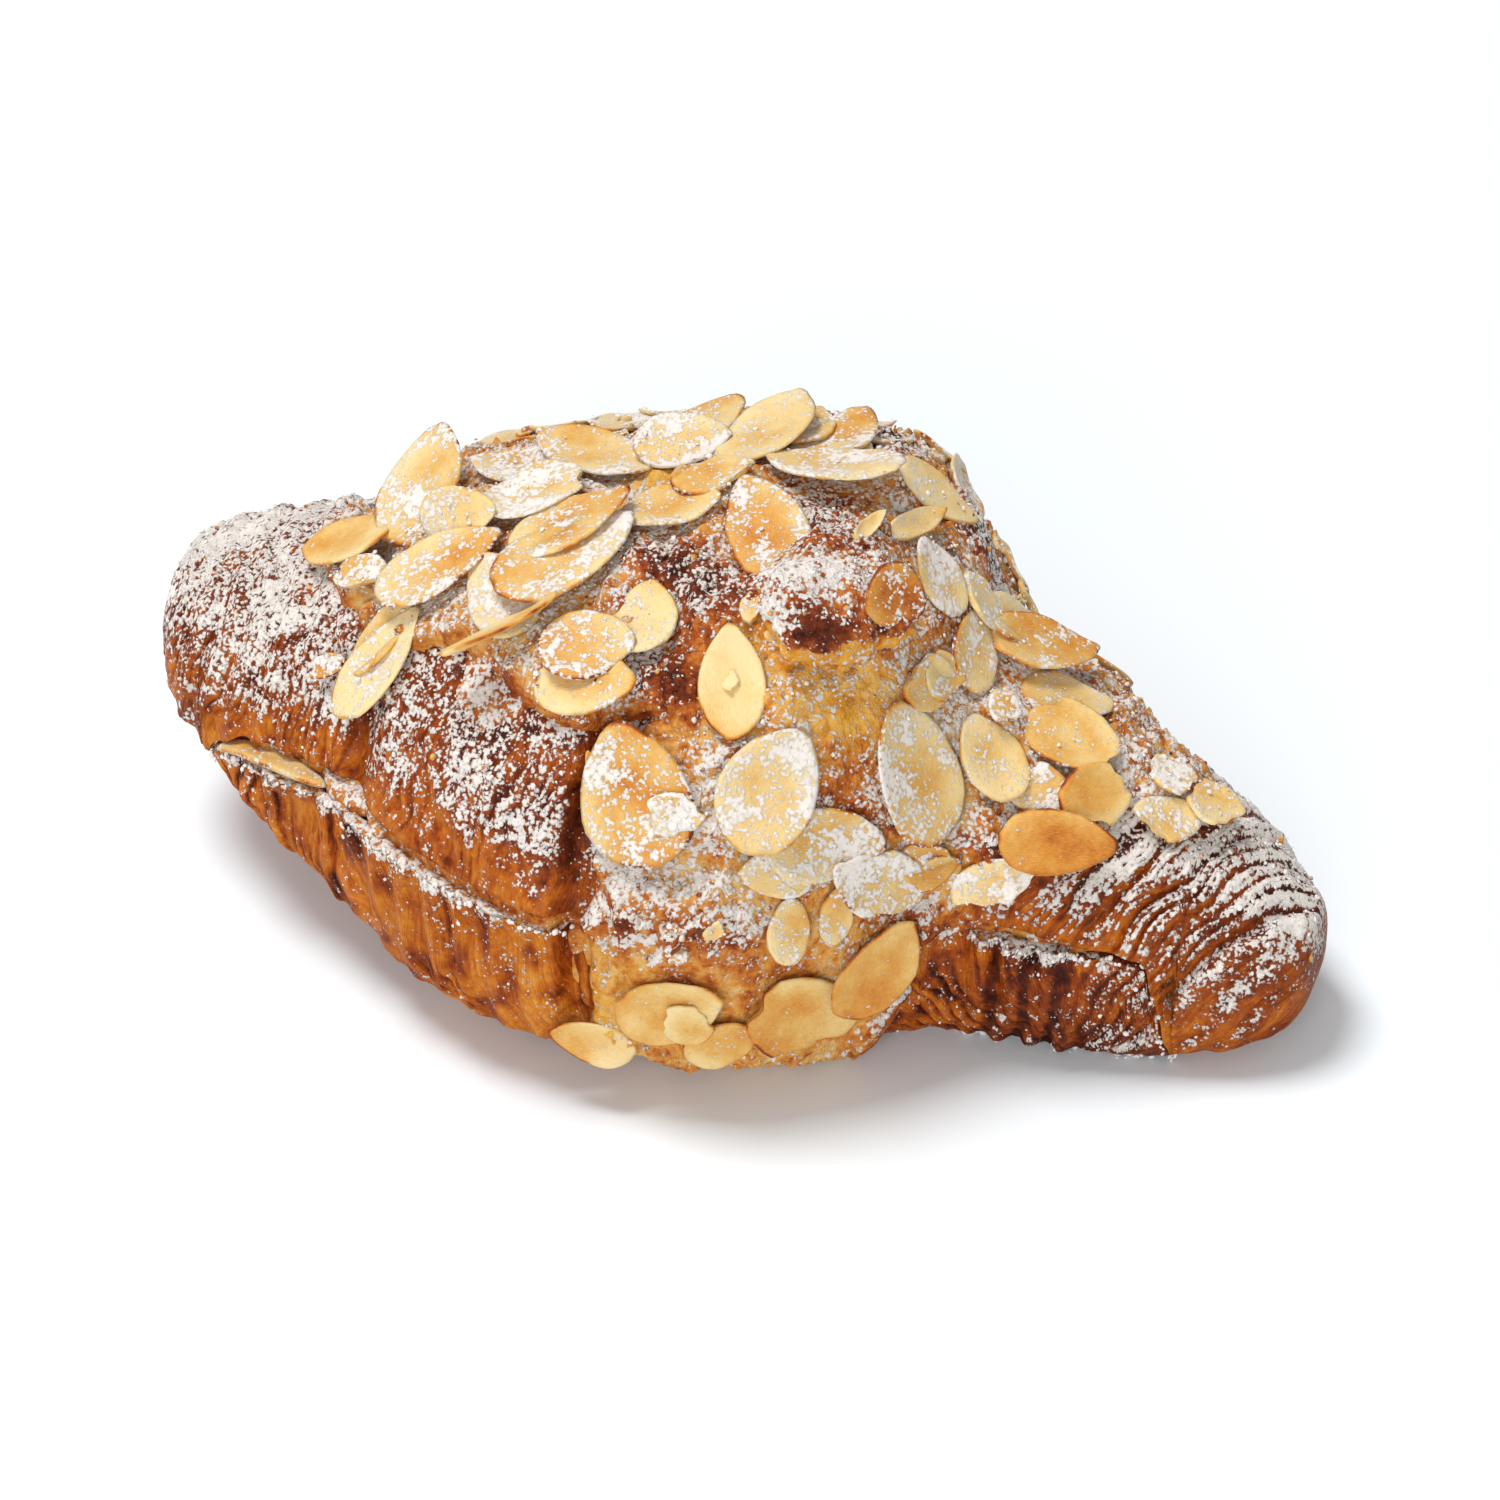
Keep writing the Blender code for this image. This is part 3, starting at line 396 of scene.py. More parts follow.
def cream_height(along, around):
    """Height of the cream over the pastry."""
    out = CREAM_THICK + sum(high * np.sin(along * by_along + around * by_around)
                            for high, by_along, by_around in CREAM_WAVES)
    for lump_along, lump_around, reach_along, reach_around, high in LUMPS:
        far = ((along - lump_along) / reach_along) ** 4 + ((around - lump_around) / reach_around) ** 4
        out = out + high * np.exp(-far)
    return out


def layered(phase):
    """Profile of thin layers that overlap: a rise, a flat, then a quick drop."""
    part = phase - np.floor(phase)
    return window(part, 0.0, 0.55, 0.78, 1.0)


def tip_layers(across, close, strong, spacing):
    """Layers of the lined right tip: their height, and 1 down in the grooves."""
    lobe = ease(across, TIP_LOBE_FROM, TIP_LOBE_FROM + 2.0)
    apart = np.minimum(across, CLOSE_RIDGES_FROM) / RIDGE_EVERY
    near = np.maximum(across - CLOSE_RIDGES_FROM, 0.0) / CLOSE_RIDGE_EVERY
    ridge = layered(apart + near + 0.5 * spacing) * (1 - lobe)
    line = layered((across + 0.4 * close) / LINE_EVERY) * (1 - 0.8 * lobe)
    ridge_high = (1.10 - 0.62 * ease(across, 52.0, 57.0)) * np.clip(strong + 0.3, 0.0, 1.1)
    height = ridge_high * ridge + 0.26 * line
    height += 0.9 * lobe - peak(across, TIP_LOBE_FROM, 0.8) + 0.5 * lobe * close
    groove = np.maximum(1 - ease(ridge, 0.08, 0.45), 0.45 * (1 - ease(line, 0.1, 0.5)))
    return height, groove * (1 - lobe)


def dough_layers(along, around, place):
    """Fine layers of the top half: their height, and 1 down in the grooves."""
    from_crease = along - curve(CREASE, 1, around)
    wide, close = texture(place, "dough_wide"), texture(place, "dough_close")
    strong = np.clip(0.6 + 0.8 * texture(place, "dough_strong"), 0.0, 1.2)
    spacing = 0.5 * grain(along / 4.2, around / 70, 0.0, 6)
    right = ease(along, 38.0, 50.0)
    left = 1 - ease(from_crease, -3.0, 1.0)
    middle = 1 - np.maximum(right, left)
    left_layer, middle_layer = (
        layered((from_crease - lean * around + wander * wide + waver * close) / every + spacing)
        for lean, wander, waver, every in (LEFT_LAYERS, MIDDLE_LAYERS))
    sides = 1 - 0.6 * ease(around, 20.0, 50.0)
    height, groove = tip_layers(along - slant(around) + wide + 0.35 * close, close, strong, spacing)
    height = right * height
    height += left * 0.36 * left_layer * strong + middle * 0.48 * middle_layer * strong * sides
    groove = right * groove + left * 0.9 * (1 - ease(left_layer, 0.05, 0.45)) * strong
    groove += middle * (1 - ease(middle_layer, 0.05, 0.45)) * strong * sides
    blister = ease(texture(place, "dough_blister"), 0.2, 0.8)
    pit = ease(texture(place, "dough_pit"), 0.45, 0.8)
    rough = 0.26 * texture(place, "dough_tiny") + 0.42 * close * (0.5 + 0.5 * middle)
    rough += (0.40 * blister - 0.35 * pit) * (1 - 0.7 * right)
    return height - LAYERS_SUNK + rough, np.clip(groove + 0.6 * pit * (1 - right), 0.0, 1.0)


def stand_at(along, around, out):
    """Place on the pastry with its directions along, around and outwards."""
    def point(at, turn):
        return body(np.array([float(at)]), np.array([float(turn)]), np.array([out]))[0]
    step = point(along + 2.0, around) - point(along - 2.0, around)
    step /= np.linalg.norm(step)
    sweep = point(along, around + 2.0) - point(along, around - 2.0)
    outwards = np.cross(step, sweep)
    outwards /= np.linalg.norm(outwards)
    if outwards @ (point(along, around) - np.array([along, 0.0, 25.0])) < 0:
        outwards = -outwards
    return point(along, around), step, np.cross(outwards, step), outwards


def turned(first, second, angle):
    """Two directions turned together by an angle, the first towards the second."""
    return (math.cos(angle) * first + math.sin(angle) * second,
            math.cos(angle) * second - math.sin(angle) * first)


def keep_clear(place, least):
    """Push points out to a distance over the pastry, and up from the ground."""
    half, top, under, side, middle = section(place[:, 0])
    rise = (place[:, 2] - middle) / np.maximum(top - middle, 1.0)
    across = (side - place[:, 1]) / np.maximum(half, 1.0)
    drop = (middle - place[:, 2]) / np.maximum(middle - under, 1.0)
    above = np.degrees(np.arctan2(rise, across))
    below = np.degrees(np.arctan2(-drop ** 2, np.copysign(across ** 2, across)))
    around = np.where(rise >= 0, above, below)
    wall = body(place[:, 0], around, relief(place[:, 0], around) + least)
    centre = np.stack([place[:, 0], side, middle], axis=-1)
    inside = np.linalg.norm(place - centre, axis=1) < np.linalg.norm(wall - centre, axis=1)
    place = np.where(inside[:, None], wall, place)
    place[:, 2] = np.maximum(place[:, 2], 0.15)
    return place


def facing(points):
    """Normals of a grid of points, as long as the area round each."""
    return np.cross(np.gradient(points, axis=0), np.gradient(points, axis=1))


def normals_of(points):
    """Unit normals of a grid of points."""
    normal = facing(points)
    return normal / (np.linalg.norm(normal, axis=-1, keepdims=True) + 1e-12)


# ------------------------------------------------------------------ modelling

def to_metres(points):
    """Points in metres about the part's origin, held within the solid model's box."""
    low, high = np.array(cad_box[0]), np.array(cad_box[1])
    return np.clip((points + SHIFT) * MM, low, high).astype(np.float32)


def store(mesh, values):
    """Keep values of each point on the mesh for its material."""
    for name, value in values.items():
        vector = value.shape[-1] == 3 and value.ndim > 1
        layer = mesh.attributes.new(name, "FLOAT_VECTOR" if vector else "FLOAT", "POINT")
        layer.data.foreach_set("vector" if vector else "value", value.astype(np.float32).ravel())


def link_object(name, data):
    """New object in the scene for a mesh, light or camera."""
    made = bpy.data.objects.new(name, data)
    bpy.context.scene.collection.objects.link(made)
    return made


def add_piece(mesh, look, node_name):
    """Put a finished mesh in the scene as a piece that replaces a node."""
    mesh.materials.append(look)
    mesh.shade_smooth()
    piece = link_object(mesh.name, mesh)
    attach(piece, "root")
    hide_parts(node_name)


def loft(name, loops, values):
    """Closed mesh through loops of points, rows by points by xyz, with stored values."""
    rows, points = loops.shape[:2]
    mesh_data = bmesh.new()
    bmesh.ops.create_grid(mesh_data, x_segments=points, y_segments=rows - 1, size=1.0)
    mesh = bpy.data.meshes.new(name)
    mesh_data.to_mesh(mesh)
    corners = np.empty(len(mesh.vertices) * 3, np.float32)
    mesh.vertices.foreach_get("co", corners)
    corners = corners.reshape(-1, 3)
    order = np.lexsort((corners[:, 0].round(5), corners[:, 1].round(5)))
    around = np.arange(points + 1) % points
    corners[order] = to_metres(loops[:, around]).reshape(-1, 3)
    mesh.vertices.foreach_set("co", corners.ravel())
    spread = {}
    for key, value in values.items():
        flat = value[:, around].reshape(rows * (points + 1), -1)
        placed = np.empty_like(flat)
        placed[order] = flat
        spread[key] = placed if placed.shape[1] == 3 else placed[:, 0]
    store(mesh, spread)
    mesh_data.clear()
    mesh_data.from_mesh(mesh)
    bmesh.ops.remove_doubles(mesh_data, verts=mesh_data.verts, dist=0.000001)
    bmesh.ops.dissolve_degenerate(mesh_data, edges=mesh_data.edges, dist=0.0000005)
    rims = [edge for edge in mesh_data.edges if edge.is_boundary]
    if rims:
        bmesh.ops.holes_fill(mesh_data, edges=rims, sides=0)
    bmesh.ops.recalc_face_normals(mesh_data, faces=mesh_data.faces)
    mesh_data.to_mesh(mesh)
    mesh_data.free()
    return mesh


def repeat(name, shape, count):
    """Mesh of many copies of one small shape, each still in its first place."""
    mesh = bpy.data.meshes.new(name)
    shape.to_mesh(mesh)
    shape.clear()
    shape.from_mesh(mesh)
    sizes = [len(shape.verts), len(shape.edges), len(shape.faces)]
    made = 1
    while made < count:
        more = min(made, count - made)
        parts = []
        for group, size in zip((shape.verts, shape.edges, shape.faces), sizes):
            group.ensure_lookup_table()
            parts += group[:more * size]
        bmesh.ops.duplicate(shape, geom=parts)
        made += more
    shape.to_mesh(mesh)
    shape.free()
    return mesh


def corners_of(shape):
    """Points of a bmesh."""
    return np.array([vert.co for vert in shape.verts])


def move_to(mesh, points):
    """Put a mesh's points at places in mm."""
    mesh.vertices.foreach_set("co", to_metres(points.reshape(-1, 3)).ravel())


# -------------------------------------------------------------- node builders

def colour(red, green, blue):
    """Linear colour from screen values of 0 to 255."""
    screen = np.array([red, green, blue]) / 255
    linear = np.where(screen <= 0.04045, screen / 12.92, ((screen + 0.055) / 1.055) ** 2.4)
    return (*(float(value) for value in linear), 1.0)


def add(tree, kind, values=None, **settings):
    """New node with its settings, and with values or links on its inputs."""
    made = tree.nodes.new(kind)
    for key, value in settings.items():
        setattr(made, key, value)
    for key, value in (values or {}).items():
        if isinstance(value, bpy.types.NodeSocket):
            tree.links.new(value, made.inputs[key])
        else:
            made.inputs[key].default_value = value
    return made


def maths(tree, operation, first, second=0.0, third=0.0):
    """Result of one sum on values or links."""
    return add(tree, "ShaderNodeMath", {0: first, 1: second, 2: third}, operation=operation).outputs[0]


def moved_by(tree, value, pattern, much):
    """Value moved up and down as a pattern strays from its middle."""
    return maths(tree, "MULTIPLY_ADD", maths(tree, "SUBTRACT", pattern, 0.5), much, value)


def object_place(tree):
    """Place on the object, in metres."""
    return tree.nodes.new("ShaderNodeTexCoord").outputs["Object"]


def enlarged(tree, place, size):
    """Pattern place multiplied by one size."""
    return add(tree, "ShaderNodeVectorMath", {0: place, 3: size}, operation="SCALE").outputs[0]


def stretched(tree, place, scale):
    """Pattern place multiplied by a scale for each direction."""
    return add(tree, "ShaderNodeMapping", {"Vector": place, "Scale": scale}).outputs[0]


def noise(tree, place, scale, detail, roughness):
    """Soft noise between 0 and 1."""
    values = {"Vector": place, "Scale": scale, "Detail": detail, "Roughness": roughness}
    return add(tree, "ShaderNodeTexNoise", values).outputs[0]


def cell_noise(tree, place, scale, smoothness=1.0):
    """Distance from the middles of smooth cells."""
    values = {"Vector": place, "Scale": scale, "Smoothness": smoothness}
    return add(tree, "ShaderNodeTexVoronoi", values, feature="SMOOTH_F1").outputs["Distance"]


def between(tree, share, first, second, blend="MIX"):
    """Colour between two, by a share."""
    values = {0: share, 6: first, 7: second}
    return add(tree, "ShaderNodeMix", values, data_type="RGBA", blend_type=blend).outputs[2]


def level(tree, share, first, second):
    """Value between two, by a share."""
    return add(tree, "ShaderNodeMix", {0: share, 2: first, 3: second}, data_type="FLOAT").outputs[0]


def step(tree, value, low, high):
    """0 below low, 1 above high, smooth between."""
    values = {"Value": value, "From Min": low, "From Max": high}
    return add(tree, "ShaderNodeMapRange", values, interpolation_type="SMOOTHSTEP").outputs[0]


def ramp(tree, value, tones):
    """Colour from a table of tones."""
    made = add(tree, "ShaderNodeValToRGB", {"Fac": value})
    while len(made.color_ramp.elements) < len(tones):
        made.color_ramp.elements.new(0.5)
    for element, (place, *screen) in zip(made.color_ramp.elements, tones):
        element.position = place
        element.color = colour(*screen)
    return made.outputs["Color"]


def stored(tree, name, output="Fac"):
    """Value that the mesh keeps for each of its points."""
    return add(tree, "ShaderNodeAttribute", attribute_name=name).outputs[output]


def new_group(name, takes, gives):
    """Node group with named inputs and outputs; returns its tree and both ends."""
    tree = bpy.data.node_groups.new(name, "ShaderNodeTree")
    for label, kind, default in takes:
        socket = tree.interface.new_socket(label, in_out="INPUT", socket_type=kind)
        socket.default_value = default
    for label, kind in gives:
        tree.interface.new_socket(label, in_out="OUTPUT", socket_type=kind)
    return tree, tree.nodes.new("NodeGroupInput").outputs, tree.nodes.new("NodeGroupOutput").inputs


def give(tree, ends, results):
    """Link a group's results, or a shader's looks, to their inputs by name."""
    for label, result in results.items():
        tree.links.new(result, ends[label])


def use_group(tree, group, values):
    """Place a node group with values or links on its inputs; returns its outputs."""
    return add(tree, "ShaderNodeGroup", values, node_tree=group).outputs


FLOAT, COLOUR = "NodeSocketFloat", "NodeSocketColor"


def make_sugar_dusting():
    """Icing sugar: speckles and clumps that cover a share of the surface."""
    tree, given, out = new_group(
        "sugar_dusting",
        (("Cover", FLOAT, 0.5), ("Speckle Size", FLOAT, 1.0), ("Tint", COLOUR, colour(*SUGAR_TINT)),
         ("Under Colour", COLOUR, (0.5, 0.3, 0.1, 1.0)), ("Under Roughness", FLOAT, 0.5)),
        (("Colour", COLOUR), ("Roughness", FLOAT), ("Cover", FLOAT), ("Height", FLOAT)))
    place = enlarged(tree, object_place(tree), given["Speckle Size"])
    grains = cell_noise(tree, place, 1700.0, 0.35)
    fine = noise(tree, place, 2300.0, 3.0, 0.7)
    clumps = noise(tree, place, 800.0, 2.0, 0.5)
    drifts = noise(tree, place, 160.0, 1.0, 0.5)
    mixed = maths(tree, "MULTIPLY_ADD", grains, -0.26, 0.115)
    for pattern, share in ((fine, 0.42), (clumps, 0.40), (drifts, 0.18)):
        mixed = maths(tree, "MULTIPLY_ADD", pattern, share, mixed)
    # above 0 the powder lies thick, a little below it is a thin veil
    powder = maths(tree, "ADD", mixed, maths(tree, "MULTIPLY_ADD", given["Cover"], 0.30, -0.65))
    thick = step(tree, powder, -0.014, 0.022)
    solid = maths(tree, "MULTIPLY", thick, level(tree, step(tree, powder, 0.0, 0.07), 0.80, 1.0))
    haze = maths(tree, "MULTIPLY", given["Cover"], 0.06)
    veil = maths(tree, "MULTIPLY", step(tree, powder, -0.08, 0.02), haze)
    cover = maths(tree, "MAXIMUM", solid, veil)
    shade = level(tree, step(tree, powder, 0.0, 0.10), 0.88, 1.0)
    white = between(tree, 1.0, given["Tint"], shade, "MULTIPLY")
    heaped = level(tree, step(tree, powder, -0.02, 0.15), 0.4, 1.0)
    give(tree, out, {"Colour": between(tree, cover, given["Under Colour"], white),
                     "Roughness": level(tree, cover, given["Under Roughness"], 0.85),
                     "Cover": cover, "Height": maths(tree, "MULTIPLY", thick, heaped)})
    return tree


def make_crust_tone():
    """Baked dough: streaks that follow the layers, and blotches, from pale to dark."""
    tree, given, out = new_group(
        "crust_tone",
        (("Bake", FLOAT, 0.5), ("Streaks", FLOAT, 1.0)),
        (("Colour", COLOUR), ("Bake", FLOAT), ("Height", FLOAT)))
    place = object_place(tree)
    flow = stored(tree, "flow", "Vector")
    fibre = noise(tree, stretched(tree, flow, (1.5, 0.20, 1.0)), 1.0, 3.0, 0.55)
    thread = noise(tree, stretched(tree, flow, (4.2, 0.55, 1.0)), 1.0, 3.0, 0.65)
    band = noise(tree, stretched(tree, flow, (0.36, 0.09, 1.0)), 1.0, 2.0, 0.5)
    blotch = noise(tree, place, 150.0, 4.0, 0.65)
    specks = noise(tree, place, 800.0, 3.0, 0.65)
    streaks = maths(tree, "MULTIPLY", given["Streaks"], 0.6)
    bake = given["Bake"]
    for pattern in (fibre, thread, band):
        bake = moved_by(tree, bake, pattern, streaks)
    bake = moved_by(tree, moved_by(tree, bake, blotch, 0.80), specks, 0.55)
    height = maths(tree, "MULTIPLY_ADD", thread, 0.8, maths(tree, "MULTIPLY_ADD", specks, 0.5, fibre))
    give(tree, out, {"Colour": ramp(tree, bake, CRUST_TONES), "Bake": bake, "Height": height})
    return tree


def make_crumb_grain():
    """Grainy surface of baked almond cream: grains and pits."""
    tree, given, out = new_group(
        "crumb_grain", (("Grain Size", FLOAT, 1.0),), (("Height", FLOAT), ("Pits", FLOAT)))
    place = enlarged(tree, object_place(tree), given["Grain Size"])
    grains = cell_noise(tree, place, 900.0)
    rough = noise(tree, place, 1500.0, 3.0, 0.6)
    height = maths(tree, "MULTIPLY_ADD", rough, 0.8, maths(tree, "MULTIPLY", grains, -0.6))
    give(tree, out, {"Height": height, "Pits": step(tree, grains, 0.45, 0.75)})
    return tree


# ------------------------------------------------------------------ materials

def new_material(name):
    """Material with its tree and its shader."""
    made = bpy.data.materials.new(name)
    made.use_nodes = True
    return made, made.node_tree, made.node_tree.nodes["Principled BSDF"]


def set_finish(shader, **values):
    """Constants on the shader's own sockets."""
    for label, value in values.items():
        shader.inputs[label.replace("_", " ")].default_value = value


def raise_by(tree, shader, layers):
    """Bump from several heights, each with its depth in mm."""
    total = None
    for height, deep in layers:
        part = maths(tree, "MULTIPLY", height, deep)
        total = part if total is None else maths(tree, "ADD", total, part)
    bump = add(tree, "ShaderNodeBump", {"Strength": 1.0, "Distance": MM, "Height": total})
    tree.links.new(bump.outputs["Normal"], shader.inputs["Normal"])


def sugared(tree, shader, groups, tint, roughness, size, layers, sugar_deep):
    """Dust a finished colour with sugar and connect it to the shader."""
    dusting = use_group(tree, groups["sugar"], {"Cover": stored(tree, "sugar"), "Speckle Size": size,
                                                "Under Colour": tint, "Under Roughness": roughness})
    give(tree, shader.inputs, {"Base Color": dusting["Colour"], "Roughness": dusting["Roughness"]})
    raise_by(tree, shader, (*layers, (dusting["Height"], sugar_deep)))
    return dusting


def crust_material(name, groups, streaks):
    """Egg-washed, flaky crust."""
    made, tree, shader = new_material(name)
    tone = use_group(tree, groups["crust"], {"Bake": stored(tree, "bake"), "Streaks": streaks})
    roughness = level(tree, step(tree, tone["Bake"], 0.3, 0.9), 0.55, 0.42)
    dusting = sugared(tree, shader, groups, tone["Colour"], roughness, 0.94,
                      ((tone["Height"], 0.36),), 0.22)
    bare = maths(tree, "SUBTRACT", 1.0, dusting["Cover"])
    give(tree, shader.inputs, {"Coat Weight": maths(tree, "MULTIPLY", bare, 0.09)})
    set_finish(shader, Coat_Roughness=0.28, Specular_IOR_Level=0.06)
    return made


def cream_material(name, groups):
    """Baked almond cream: pale and grainy, golden to burnt where it browned."""
    made, tree, shader = new_material(name)
    place = object_place(tree)
    crumb = use_group(tree, groups["crumb"], {"Grain Size": 1.0})
    bake = moved_by(tree, stored(tree, "bake"), noise(tree, place, 220.0, 3.0, 0.6), 0.55)
    bake = moved_by(tree, bake, noise(tree, place, 900.0, 2.0, 0.6), 0.60)
    bake = maths(tree, "MULTIPLY_ADD", crumb["Pits"], 0.16, bake)
    plain, egg = ramp(tree, bake, CREAM_TONES), ramp(tree, bake, EGG_TONES)
    tint = between(tree, stored(tree, "yellow"), plain, egg)
    sugared(tree, shader, groups, tint, 0.55, 0.92, ((crumb["Height"], 0.76),), 0.20)
    set_finish(shader, Specular_IOR_Level=0.12, Subsurface_Weight=0.12,
               Subsurface_Radius=(1.0, 0.6, 0.3), Subsurface_Scale=0.0008)
    return made


def almond_material(name, groups):
    """Sliced almond: ivory to toasted, with painted rim light that makes it paler towards its rim, and
    darker along the rim itself.
    """
    made, tree, shader = new_material(name)
    place = object_place(tree)
    toast, rim = stored(tree, "toast"), stored(tree, "rim")
    soft = noise(tree, place, 170.0, 2.0, 0.5)
    fine = noise(tree, place, 1300.0, 2.0, 0.6)
    veins = noise(tree, stretched(tree, stored(tree, "flow", "Vector"), (1.2, 6.0, 1.0)), 1.0, 2.0, 0.5)
    bake = toast
    for pattern, much in ((soft, 0.80), (veins, 0.36), (fine, 0.22)):
        bake = moved_by(tree, bake, pattern, much)
    # Painted rim light: each flake turns paler towards its rim.
    bake = maths(tree, "MULTIPLY_ADD", step(tree, rim, 0.30, 0.80), -0.12, bake)
    skin = maths(tree, "MULTIPLY", step(tree, rim, 0.90, 1.0), step(tree, soft, 0.42, 0.62))
    bake = maths(tree, "MULTIPLY_ADD", skin, 0.55, bake)
    tint = ramp(tree, bake, ALMOND_TONES)
    sugared(tree, shader, groups, tint, 0.46, 0.86, ((fine, 0.08), (veins, 0.10)), 0.16)
    set_finish(shader, Specular_IOR_Level=0.20, Subsurface_Weight=0.22,
               Subsurface_Radius=(1.0, 0.7, 0.35), Subsurface_Scale=0.0009)
    return made


def sugar_material(name):
    """Clumped icing sugar."""
    made, tree, shader = new_material(name)
    fine = noise(tree, object_place(tree), 2600.0, 2.0, 0.6)
    tint = between(tree, step(tree, fine, 0.3, 0.7), colour(*CLUMP_SHADE), colour(*CLUMP_TINT))
    give(tree, shader.inputs, {"Base Color": tint, "Roughness": level(tree, fine, 0.78, 0.92)})
    raise_by(tree, shader, ((fine, 0.12),))
    set_finish(shader, Subsurface_Weight=0.15,
               Subsurface_Radius=(1.0, 0.95, 0.9), Subsurface_Scale=0.0004)
    return made


# --------------------------------------------------------------------- pastry

def sugar_on(points, normals, much, seed):
    """Share of sugar that lies on each point: more where it faces up, in drifts."""
    up = ease(normals[..., 2], -0.55, 0.65)
    drift = 0.14 * grain_at(points, 7, seed) + 0.10 * grain_at(points, 2.6, seed + 1)
    return np.clip(much * up + drift * (0.4 + 0.6 * up), 0.0, 1.0)


def strip_between(first, last, count):
    """Columns of points between two others, which they leave out."""
    across = np.linspace(0.0, 1.0, count + 2)[1:-1][None, :, None]
    return first * (1 - across) + last * across


def pastry_flow(along, around, place):
    """Pattern place on the dough in mm: across its layers, and along them."""
    half, top, _, _, middle = section(along)
    by_crease = along - curve(CREASE, 1, around) - 0.10 * around
    lean = np.where(along > 20.0, along - slant(around), by_crease)
    lean = lean + 2.6 * texture(place, "dough_wide") + texture(place, "dough_close")
    round_it = np.radians(around) * 0.5 * (half + top - middle)
    return np.stack([lean, round_it, 0 * lean], axis=-1)


def top_finish(at, around, outer, normals, groove, bottom):
    """Sugar and bake over the upper half, with painted shade in its grooves, crease and cavity and on
    the shoulder's wall.
    """
    from_crease = at - curve(CREASE, 1, around)
    left = 1 - ease(from_crease, -2.0, 2.0)
    right = ease(at, 36.0, 46.0)
    # The carved cavity: painted shade makes it darker, and it holds no sugar.
    shaded_hollow = spot(at, around, CAVITY)
    low = 1 - ease(outer[..., 2] - bottom[:, None], 1.0, 10.0)
    # The shoulder's step wall: painted shade makes it darker, and it holds less sugar.
    wall = peak(at - curve(SHOULDER, 1, around), 0.6, 1.3) * (1 - ease(around, 62.0, 80.0))
    much = 0.70 * left + 0.68 * right + 0.60 * (1 - np.maximum(left, right))
    much += 0.16 * left * ease(around, 45.0, 80.0) + 0.36 * right * ease(around, 45.0, 75.0)
    much += 0.28 * right * (1 - ease(at, 58.0, 66.0)) * (1 - ease(around, 60.0, 75.0))
    much = much * (1 - (0.55 - 0.35 * right) * low)
    sugar = sugar_on(outer, normals, much, TOP_DRIFT_SEED)
    sugar = sugar - (0.30 + 0.34 * right) * groove - 0.9 * shaded_hollow
    sugar = np.clip(sugar - 0.5 * wall - 0.25 * peak(from_crease, 0.0, 1.6), 0.0, 1.0)
    # Painted shade: darker in the grooves between the layers, on the shoulder's step wall, in the crease
    # and in the carved cavity.
    bake = 0.50 + 0.20 * ease(normals[..., 2], -0.2, 0.8) + (0.22 - 0.13 * right) * groove
    bake += -0.16 * low + 0.26 * wall
    bake += 0.12 * peak(from_crease, 0.0, 2.2) + 0.45 * shaded_hollow + 0.09 * right
    return sugar, bake


def build_pastry_top(look):
    """Upper half with its lapped layers, crease, shoulder and lined tips."""
    along = np.unique(np.concatenate([np.linspace(*stretch) for stretch in TOP_STRETCHES]))
    bottom = curve(SLICE, 1, along) + curve(SLICE, 2, along)
    closed = (along < TOP_OPEN_FROM) | (along > TOP_OPEN_TO)
    front = np.where(closed, -90.0, around_at_height(along, bottom))
    share = np.linspace(0.0, 1.0, TOP_COLUMNS)
    share = share * (0.72 + 0.28 * share)     # closer together in front
    around = front[:, None] + share[None, :] * (180.0 - 2 * front[:, None])
    at = np.repeat(along[:, None], TOP_COLUMNS, axis=1)
    smooth = body(at, around, 0.0)
    layers, groove = dough_layers(at, around, smooth)
    whole = window(at, LEFT_END, -83.5, 81.0, RIGHT_END)
    edge = ease(np.minimum(share, 1 - share), 0.0, 0.02)[None, :]
    hole = CAVITY[4] * spot(at, around, CAVITY)
    outer = body(at, around, relief(at, around) + (layers * edge - hole) * whole)
    normals = normals_of(outer)
    sugar, bake = top_finish(at, around, outer, normals, groove, bottom)
    under = strip_between(outer[:, -1:], outer[:, :1], 6)
    rough = 0.25 * grain(under[..., 0] / 3, under[..., 1] / 3, 0.0, 9)
    under[..., 2] += rough * (front > -89.0)[:, None]
    loops = np.concatenate([outer, under], axis=1)
    more = ((0, 0), (0, under.shape[1]))
    # Painted shade: the cut faces under the top half turn darker towards the right, so the slice reads
    # as a dark gap.
    cut = np.repeat(0.3 + 0.6 * ease(along, 30.0, 40.0)[:, None], under.shape[1], axis=1)
    values = {"sugar": np.pad(sugar, more),
              "bake": np.concatenate([bake, cut], axis=1),
              "flow": np.pad(pastry_flow(at, around, smooth), (*more, (0, 0)), mode="edge")}
    add_piece(loft("pastry_top_crust", loops, values), look, "pastry_top")
    return outer, normals, sugar


def slice_ends():
    """Places along, at either tip, where the slice leaves the croissant's underside."""
    along = np.linspace(SLICE[0][0], SLICE[-1][0], 800)
    under = np.maximum(section(along)[2], 0.0)
    cut = along[curve(SLICE, 1, along) - curve(SLICE, 2, along) > under + 0.2]
    return cut[0], cut[-1]


